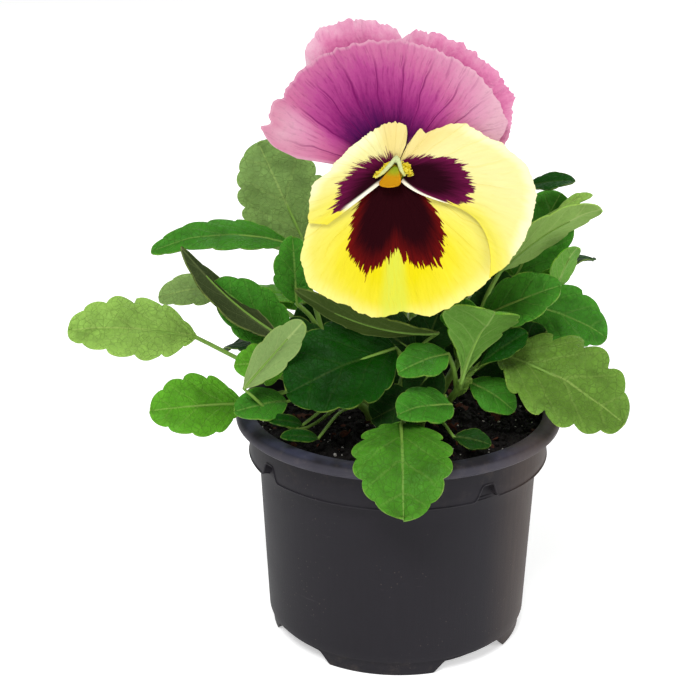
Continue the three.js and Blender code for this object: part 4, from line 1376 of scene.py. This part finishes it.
def stem_course(stem):
    """The points that a stem runs through, from its foot in the soil."""
    x, y = stem["root"]
    foot = Vector((x, y, SOIL_LEVEL - STEM_DEPTH))
    collar = Vector((x, y, SOIL_LEVEL + SOIL_MOUND + 2))
    return [foot, (foot + collar) / 2, collar, Vector(stem["top"])]


def leaf_stalk(shape, start):
    """The stalk of a leaf, which runs on under its blade as the midrib."""
    form = Blade(shape, 0, 0)
    rise = Vector((0, 0, shape["bow"] * (form.neck - start).length))
    middle = (start + form.neck) / 2 + rise
    thick = 0.9 if shape["width"] > NARROW else 0.6
    radii = [thick * share for share in (1.05, 0.85, 0.8)]
    line, widths = strand([start, middle, form.neck], radii, STALK_STEPS)
    for k in range(1, STALK_STEPS + 1):
        line.append(form.point(MIDRIB_STEP * k, 0) - form.up * MIDRIB_SUNK)
        widths.append(mix(thick * 0.72, 0.2, k / STALK_STEPS))
    return line, widths


def stipules(points):
    """A pair of small toothed leaflets, one to each side of a stem."""
    pair = []
    for hand in (-1, 1):
        base = course(points, 0.82 + 0.05 * hand)
        reach = Vector((6 * hand, -4, 8))
        neck, tip = base + reach * 0.1, base + reach
        pair.append(leaf(neck[:], tip[:], 4, (0, -0.8, 0.6), "lime", teeth=3, fold=8))
    return pair


class PANSY_OT_leafy_stems(bpy.types.Operator):
    """Make the leafy stems with their stalks, toothed blades and stipules"""

    bl_idname = "pansy.leafy_stems"
    bl_label = "Leafy stems"

    def execute(self, context):
        settings = context.scene.pansy_leaves
        upper, under = leaf_face_paint(settings), leaf_back_paint()
        stalk = stalk_paint(settings)
        seed = 1
        for name, stem in LEAFY_STEMS.items():
            points = stem_course(stem)
            shapes = list(stem["leaves"])
            line, widths = strand(points, STEM_RADII, 18)
            # The stem ends in a blunt point.
            line.append(Vector(stem["top"]) + Vector((0, 0, 1.2)))
            widths.append(0.5)
            lines = [(line, widths)]
            for shape in shapes:
                start = course(points, mix(0.68, 0.99, shape["start"]))
                lines.append(leaf_stalk(shape, start))
            if stem.get("stipules"):
                shapes += stipules(points)
            blades = []
            for shape in shapes:
                blades.append(leaf_blade("blade", shape, settings, seed))
                seed += 1
            whole = join("blades_" + name, blades)
            merge_points(whole, 0.03 * MM, recalculate=False)
            node = "leafy_stem_" + name
            finish_sheet(whole, settings.thickness, "foliage", node, upper, under)
            dress(strands("stalks_" + name, lines), [node], [stalk])
        return {"FINISHED"}


# ---- Bloom ----

THROAT = Vector((-2, -33, 160))
BLOOM_LEAN = 9  # degrees that the bloom's face looks up
BLOOM_FRAME = Matrix.Translation(THROAT) @ Matrix.Rotation(math.radians(-BLOOM_LEAN), 4, "X")
PETAL_ROOT = 3  # the radius at which the petals start
PETAL_LENGTH = 40
PETAL_STEPS = (150, 46)  # round and outwards
CUP_DEPTH = 2.4  # of the hollow at the throat
EDGE_REST = 0.45  # how far a side petal's lower side bends back onto the lower petal

# edge, blotch and deep list (degrees, radius) round the throat, 0 to the right and 90 up: a
# petal's outline, that of its dark blotch, and where its deep mauve has turned pink. back is how
# far behind the face a petal starts, bend how far its edge leans back, ruffle how high its edge
# waves, frill how much it is crimped, and curl how far, in degrees, its first side swings round.
# A stripe's entry holds the middle and half width, in degrees, of a stripe of another tone: painted
# shade along a side petal's upper strip, and a greener streak down the lower petal.
PETALS = {
    "petal_left_yellow": {
        "edge": [
            (68, 9), (76, 14), (84, 14.5), (96, 14.5), (116, 13.5), (136, 13.5), (157, 15),
            (177, 18), (189, 23.5), (200, 25.5), (210, 28), (218, 24),
        ],
        "blotch": [
            (68, 4), (95, 5.6), (128, 6.1), (151, 8.1), (170, 10.9), (182, 13.2), (196, 16.2),
            (207, 19), (213, 20.5), (216, 17), (218, 12),
        ],
        "band": (84, 44),
        "back": 0,
        "bend": 3,
        "ruffle": 0.25,
    },
    "petal_right_yellow": {
        "edge": [
            (-47, 41), (-38, 42), (-24, 42), (-9, 41.3), (2, 38.6), (14, 32.6), (24, 27.5),
            (34, 25), (41, 22), (46, 18), (52, 14.5), (60, 15), (65, 9),
        ],
        "blotch": [
            (-47, 2), (-31, 12), (-27, 17), (-23, 21), (-17, 23), (-6, 22.8), (1, 21.2), (12, 18.6),
            (18, 16), (23, 12.4), (37, 9), (50, 6), (65, 4),
        ],
        "band": (58, 34),
        "back": 0,
        "bend": 3,
        "ruffle": 0.25,
        "curl": 20,
    },
    "petal_lower_yellow": {
        "edge": [
            (208, 27), (217, 32), (224, 37), (234, 41), (250, 41), (262, 42.5), (275, 40.5),
            (285, 43), (298, 42), (314, 41.5), (330, 36), (345, 27),
        ],
        "blotch": [
            (208, 8), (218, 12), (225, 16), (233, 20), (238, 24.5), (242, 27), (248, 28.2),
            (253, 30), (258, 28.8), (263, 26.8), (268, 24.4), (273, 22), (278, 25), (284, 27.2),
            (290, 28.6), (296, 28.8), (302, 27), (308, 24.6), (313, 21), (318, 16.5), (324, 12),
            (332, 7.7), (345, 4),
        ],
        "band": (271, 9),
        "back": 1.5,
        "bend": 3.6,
        "ruffle": 0.3,
    },
    "petal_upper_front": {
        "edge": [
            (12, 29), (25, 35.5), (38, 36), (60, 36.5), (85, 37), (110, 38), (131, 39.5),
            (143, 39), (146.5, 37.8), (150, 40.3), (156, 39.8), (158.8, 37.8), (161.8, 41),
            (164.5, 38.8), (168, 36), (172, 28),
        ],
        "deep": [
            (12, 18), (25, 21), (38, 24), (50, 27.5), (62, 30), (78, 33), (92, 36), (112, 40),
            (135, 39), (145, 36), (151, 26), (158, 23), (172, 20),
        ],
        "back": 1.5,
        "bend": 7,
        "ruffle": 0.5,
        "frill": 1.4,
    },
    "petal_upper_back": {
        "edge": [
            (12, 32), (22, 36.5), (33, 40.5), (53, 41), (71, 41), (82, 40.5), (87, 38), (93, 42),
            (107, 45), (118, 46), (126, 44), (133, 37),
        ],
        "back": 2.9,
        "bend": 10,
        "ruffle": 0.9,
        "frill": 2.4,
    },
}
YELLOW_MIDDLE = (1.2, -25.6)  # of the deep yellow under the throat
YELLOW_REACH = (17.2, 12.9)  # across and up


def along_table(table, angle):
    """A radius between the entries of an edge or blotch table."""
    k = 1
    while k < len(table) - 1 and table[k][0] < angle:
        k += 1
    (start, low), (end, high) = table[k - 1], table[k]
    share = min(max((angle - start) / (end - start), 0), 1)
    return mix(low, high, (smooth(0, 1, share) + share) / 2)


def crimped_edge(petal, angle, across):
    """How far out a petal reaches at an angle, with the crimps of its edge."""
    back = petal["back"]
    crimp = noise.noise(Vector((angle * 0.33, back, 1))) * 0.5
    crimp += noise.noise(Vector((angle * 0.95, back, 5))) * 0.32
    crimp *= petal.get("frill", 1) * smooth(0, 0.08, min(across, 1 - across))
    return along_table(petal["edge"], angle) + crimp


def petal_depth(petal, angle, radius, out):
    """How far a point of a petal lies behind the bloom's face."""
    back = petal["back"]
    lean = petal["bend"] * (radius / PETAL_LENGTH) ** 2
    wave = petal["ruffle"] * out**3 * math.sin(14 * math.radians(angle) + 2 * back)
    small = noise.noise(Vector((angle * 0.22, out * 2.2, back * 3 + 9)))
    fold = noise.noise(Vector((angle * 0.06, radius * 0.05, back + 20)))
    pleat = math.sin(math.radians(angle) * 46 + fold * 4) * 0.07 * out * (1 - out**4)
    cup = CUP_DEPTH * (1 - math.exp(-radius / 6))
    return back + lean + wave - cup + 0.34 * small * out**2 + 0.3 * fold * out + pleat


def petal_detail(petal, across, out):
    """A point of a petal in the bloom's own frame, with what its material reads there."""
    first, last = petal["edge"][0][0], petal["edge"][-1][0]
    angle = mix(first, last, across)
    full = crimped_edge(petal, angle, across)
    radius = mix(PETAL_ROOT, full, out)
    turned_angle = angle + petal.get("curl", 0) * math.sin(math.pi * out) * (1 - across) ** 4
    turn = math.radians(turned_angle)
    depth = petal_depth(petal, angle, radius, out)
    point = Vector((radius * math.cos(turn), depth, radius * math.sin(turn)))
    inside = along_table(petal["blotch"], turned_angle) - radius if "blotch" in petal else -20
    if "deep" in petal:
        tone = radius / along_table(petal["deep"], turned_angle)
    else:
        x, z = point.x - YELLOW_MIDDLE[0], point.z - YELLOW_MIDDLE[1]
        tone = math.hypot(x / YELLOW_REACH[0], z / YELLOW_REACH[1])
    # The stripe marks painted shade on a side petal and a greener streak on the lower petal.
    middle, half = petal.get("band", (0, 1))
    band = 1 - smooth(0.3, 1, abs(turned_angle - middle) / half)
    from_first, from_last = (radius * math.radians(a) for a in (angle - first, last - angle))
    sideways = min(from_first, from_last)
    rim = 0
    if petal["back"] == 0:
        # A side petal: its lower side rests on the lower petal, and is white near the throat.
        below, sideways = (from_first, from_last) if first < 0 else (from_last, from_first)
        rim = (1 - smooth(0.7, 1.3, below)) * (1 - smooth(15, 19, radius))
        tone *= mix(0.72, 1, smooth(0, 13, below))
        point.y += EDGE_REST * (1 - smooth(0, 4, below)) * smooth(14, 22, radius)
    return point, (turn, radius, out), (inside, min(full - radius, sideways), rim), (tone, band, 0)


class PANSY_OT_petals(bpy.types.Operator):
    """Make the five petals"""

    bl_idname = "pansy.petals"
    bl_label = "Petals"

    def execute(self, context):
        settings = context.scene.pansy_bloom
        lemon_back = petal_back_paint("yellow_petal_back", srgb(250, 244, 176), srgb(240, 226, 120))
        mauve_back = petal_back_paint("mauve_petal_back", srgb(226, 170, 208), srgb(186, 104, 168))
        side = side_petal_paint(settings)
        paints = {
            "petal_left_yellow": ("petal_pale_yellow", side, lemon_back),
            "petal_right_yellow": ("petal_pale_yellow", side, lemon_back),
            "petal_lower_yellow": ("petal_deep_yellow", lower_petal_paint(settings), lemon_back),
            "petal_upper_front": ("petal_mauve", upper_petal_paint(settings), mauve_back),
            "petal_upper_back": ("petal_mauve", back_petal_paint(), mauve_back),
        }
        for name, petal in PETALS.items():
            made = (petal_detail(petal, 1 - u, v) for u, v in grid_shares(*PETAL_STEPS))
            points, *layers = zip(*made)
            grid = sheet(name + "_velvet", *PETAL_STEPS, [BLOOM_FRAME @ point for point in points])
            for layer, values in zip(("bloom", "mark", "tone"), layers):
                note(grid, layer, values)
            slot, face, back = paints[name]
            finish_sheet(grid, settings.thickness, slot, name, face, back)
        return {"FINISHED"}


SEPAL_ANGLES = [18, 90, 162, 234, 306]
SEPAL_LENGTH = 15
STALK_ROOT = (4, 1)
# How the stalk comes up to the throat, as places seen from there.
STALK_ROUTE = [(6, 36, -44), (2, 28, -6), (0, 19, 4), (0, 11, 1.5), (0, 7, -0.8)]
STALK_RADII = [1.5, 1.45, 1.35, 1.3, 1.3, 1.3, 1.4]
# The knob's radius at each depth behind the face of the bloom.
KNOB = {2.3: 1.9, 3.2: 2.5, 4.6: 2.7, 6: 2.35, 7.4: 1.8, 8.4: 1.3}


class PANSY_OT_flower_stalk(bpy.types.Operator):
    """Make the flower stalk with the knob and the five green sepals behind the petals"""

    bl_idname = "pansy.flower_stalk"
    bl_label = "Flower stalk"

    def execute(self, context):
        settings = context.scene.pansy_leaves
        route = [Vector((*STALK_ROOT, SOIL_LEVEL + height)) for height in (-STEM_DEPTH, 4)]
        route += [THROAT + Vector(offset) for offset in STALK_ROUTE]
        stalk = strand(route, STALK_RADII, 60)
        knob = [BLOOM_FRAME @ Vector((0, depth, 0)) for depth in KNOB]
        stem = strands("flower_stem", [stalk, (knob, list(KNOB.values()))], sides=4)
        dress(stem, ["flower_stalk"], [stalk_paint(settings)])
        sepals = []
        for number, angle in enumerate(SEPAL_ANGLES):
            turn = math.radians(angle)
            neck = (0.5 * math.cos(turn), 3.1, 0.5 * math.sin(turn))
            tip = (SEPAL_LENGTH * math.cos(turn), 4, SEPAL_LENGTH * math.sin(turn))
            shape = leaf(neck, tip, 5, (0, 1, 0), teeth=3, outline="long", arch=0.02)
            sepal = leaf_blade("sepal", shape, settings, 200 + number)
            for vertex in sepal.data.vertices:
                vertex.co = BLOOM_FRAME @ (vertex.co / MM) * MM
            sepals.append(sepal)
        calyx = join("calyx", sepals)
        merge_points(calyx, 0.03 * MM, recalculate=False)
        green = leaf_face_paint(settings)
        finish_sheet(calyx, settings.thickness, "calyx_green", "flower_stalk", green)
        return {"FINISHED"}


# The two arms of the stigma, in the bloom's own frame.
STIGMA_ARMS = [
    [(0.5, -3.3, 4.6), (-1.2, -3.4, 2.5), (-3.1, -3.4, 0.5), (-5, -3, -0.9)],
    [(1.1, -3.3, 4.5), (1.7, -3.4, 2.7), (2.2, -3.4, 1.2), (3.2, -3, -0.4)],
]
LIP_TOP = (0.5, 2.2)  # across and up, in the bloom's own frame
LIP_FOOT = (-1.35, -3.4)
LIP_HALVES = (3.9, 0.9)  # half its width at its foot and its top
BEARD_HAIRS = 170  # beside each arm
BEARD_SPREAD = (0.9, 2.6)  # how far they stand off the left arm and the right one


def throat_lip():
    """The orange pad between the arms of the stigma, narrow at its top and blunt at its foot."""
    deselect_all()
    bpy.ops.mesh.primitive_uv_sphere_add(segments=40, ring_count=24, radius=1)
    lip = bpy.context.object
    marks = []
    for vertex in lip.data.vertices:
        aside, deep, high = (math.copysign(abs(part) ** 0.6, part) for part in vertex.co)
        share = (high + 1) / 2
        half = mix(*LIP_HALVES, share)
        x = mix(LIP_FOOT[0], LIP_TOP[0], share) + half * aside
        z = mix(LIP_FOOT[1], LIP_TOP[1], share) - 0.4 * (1 - abs(aside)) * (1 - share)
        y = -2.9 + 1.15 * deep + 0.12 * noise.noise(vertex.co * 3.1)
        marks.append((high, aside, 0))
        vertex.co = BLOOM_FRAME @ Vector((x, y, z)) * MM
    note(lip, "lip", marks)
    return lip


def ball(name, middle, half_sizes, roughened=0.0):
    """A rounded lump in the bloom's own frame."""
    deselect_all()
    bpy.ops.mesh.primitive_uv_sphere_add(segments=32, ring_count=20, radius=1)
    lump = bpy.context.object
    lump.name = lump.data.name = name
    for vertex in lump.data.vertices:
        swell = 1 + roughened * noise.noise(vertex.co * 3.1)
        size = [part * half * swell for part, half in zip(vertex.co, half_sizes)]
        vertex.co = BLOOM_FRAME @ (Vector(size) + Vector(middle)) * MM
    return lump


def beard_places():
    """Where the short hairs stand beside the arms of the stigma, leaning outwards."""
    draw = random.Random(5)
    frame_metres = BLOOM_FRAME.copy()
    frame_metres.translation *= MM
    places = []
    for hand, arm, spread in zip((-1, 1), STIGMA_ARMS, BEARD_SPREAD):
        for _ in range(BEARD_HAIRS):
            share = mix(0.3, 0.97, draw.random())
            root = course(arm, share) + Vector((hand * draw.uniform(0.2, spread), 0.3, 0))
            root.z += draw.gauss(0.2, 0.3)
            lean = Vector((hand * draw.uniform(0.2, 1.2), -1, draw.uniform(-0.7, 0.7)))
            tilt = lean.to_track_quat("Z", "Y").to_matrix().to_4x4()
            size = Matrix.Diagonal((0.2, 0.2, draw.uniform(0.4, 0.8), 1))
            places.append(frame_metres @ (Matrix.Translation(root * MM) @ tilt @ size))
    return places


class PANSY_OT_throat(bpy.types.Operator):
    """Make the orange throat, the pale stigma and the beard of short hairs beside it"""

    bl_idname = "pansy.throat"
    bl_label = "Throat"

    def execute(self, context):
        settings = context.scene.pansy_bloom
        lip = throat_lip()
        plug = ball("plug", (0, -0.4, 0), (2.6, 2.3, 2.6))
        note(plug, "lip", [(0.2, 0, 0)] * len(plug.data.vertices))
        throat = join("velvet_throat", [lip, plug])
        shade(throat, 60)
        dress(throat, ["throat"], [throat_paint(settings)])

        head = ball("stigma_head", (0.75, -3.2, 4.3), (0.8, 0.8, 1.0), 0.12)
        arms = []
        for points in STIGMA_ARMS:
            line, widths = strand([Vector(point) for point in points], [0.6, 0.62, 0.55, 0.3], 20)
            arms.append(([BLOOM_FRAME @ point for point in line], widths))
        stigma = join("pale_stigma", [head, strands("stigma_arms", arms, sides=4)])
        shade(stigma, 60)
        dress(stigma, ["stigma"], [stigma_paint()])

        deselect_all()
        bpy.ops.mesh.primitive_cone_add(vertices=5, radius1=MM, radius2=0.5 * MM, depth=2 * MM)
        beard = copies("beard", bpy.context.object, beard_places())
        dress(beard, ["stigma"], [beard_paint()])
        return {"FINISHED"}


# ---- Stage ----

# In metres: each lamp's place, width and power, and the camera's place and aim.
LAMPS = {
    "key_light": ((-0.35, -1.1, 1.6), 0.8, 25),
    "side_light": ((1.2, -0.5, 0.7), 0.8, 6),
    "back_light": ((0.3, 1.2, 1.2), 0.9, 8),
}
LAMP_AIM = Vector((0, 0, 0.1))
CAMERA_SPOT = Vector((0, -0.4617, 0.2626))
CAMERA_AIM = Vector((-0.0162, 0, 0.0949))
SENSOR_WIDTH = 36  # millimetres, as the lens is
FLOOR_SIZE = 12


def look(piece, spot, aim):
    """Puts a lamp or the camera in its place and turns it to what it looks at."""
    piece.location = spot
    piece.rotation_euler = (aim - spot).to_track_quat("-Z", "Y").to_euler()
    bpy.context.collection.objects.link(piece)


def lamp(name, spot, size, power):
    """A soft round lamp."""
    data = bpy.data.lights.new(name, "AREA")
    data.shape = "DISK"
    data.size = size
    data.energy = power
    look(bpy.data.objects.new(name, data), Vector(spot), LAMP_AIM)


class PANSY_OT_stage(bpy.types.Operator):
    """Set up the pale floor, the soft light and the camera"""

    bl_idname = "pansy.stage"
    bl_label = "Stage"

    def execute(self, context):
        settings = context.scene.pansy_stage
        deselect_all()
        bpy.ops.mesh.primitive_plane_add(size=FLOOR_SIZE)
        floor = context.object
        floor.name = "floor"
        floor.data.materials.append(floor_paint(settings))

        world = bpy.data.worlds.new("daylight")
        world.use_nodes = True
        sky = world.node_tree.nodes["Background"]
        sky.inputs["Color"].default_value = (1, 1, 1, 1)
        sky.inputs["Strength"].default_value = settings.daylight
        context.scene.world = world
        for name, placed in LAMPS.items():
            lamp(name, *placed)

        data = bpy.data.cameras.new("camera")
        data.sensor_fit = "HORIZONTAL"
        data.sensor_width = SENSOR_WIDTH
        data.lens = settings.lens / MM
        camera = bpy.data.objects.new("camera", data)
        look(camera, CAMERA_SPOT, CAMERA_AIM)
        context.scene.camera = camera
        context.scene.view_settings.view_transform = "Standard"
        return {"FINISHED"}


# ---- Add-on ----

OPERATORS = (
    PANSY_OT_pot,
    PANSY_OT_soil,
    PANSY_OT_leafy_stems,
    PANSY_OT_petals,
    PANSY_OT_flower_stalk,
    PANSY_OT_throat,
    PANSY_OT_stage,
)
SETTINGS = {
    "pansy_pot": PotSettings,
    "pansy_soil": SoilSettings,
    "pansy_leaves": LeafSettings,
    "pansy_bloom": BloomSettings,
    "pansy_stage": StageSettings,
}


class PANSY_PT_sidebar(bpy.types.Panel):
    """Lists the pieces of the potted pansy"""

    bl_idname = "PANSY_PT_sidebar"
    bl_label = "Potted pansy"
    bl_space_type = "VIEW_3D"
    bl_region_type = "UI"
    bl_category = "Pansy"

    def draw(self, context):
        for operator in OPERATORS:
            self.layout.operator(operator.bl_idname)
        for name, group in SETTINGS.items():
            box = self.layout.box()
            box.label(text=name.replace("_", " ").capitalize())
            for setting in group.__annotations__:
                box.prop(getattr(context.scene, name), setting)


def register():
    for name, group in SETTINGS.items():
        bpy.utils.register_class(group)
        setattr(bpy.types.Scene, name, PointerProperty(type=group))
    for operator in OPERATORS:
        bpy.utils.register_class(operator)
    bpy.utils.register_class(PANSY_PT_sidebar)


def unregister():
    bpy.utils.unregister_class(PANSY_PT_sidebar)
    for operator in reversed(OPERATORS):
        bpy.utils.unregister_class(operator)
    for name, group in SETTINGS.items():
        delattr(bpy.types.Scene, name)
        bpy.utils.unregister_class(group)


def main():
    register()
    bpy.ops.pansy.pot()
    bpy.ops.pansy.soil()
    bpy.ops.pansy.leafy_stems()
    bpy.ops.pansy.petals()
    bpy.ops.pansy.flower_stalk()
    bpy.ops.pansy.throat()
    bpy.ops.pansy.stage()


if __name__ == "__main__":
    main()
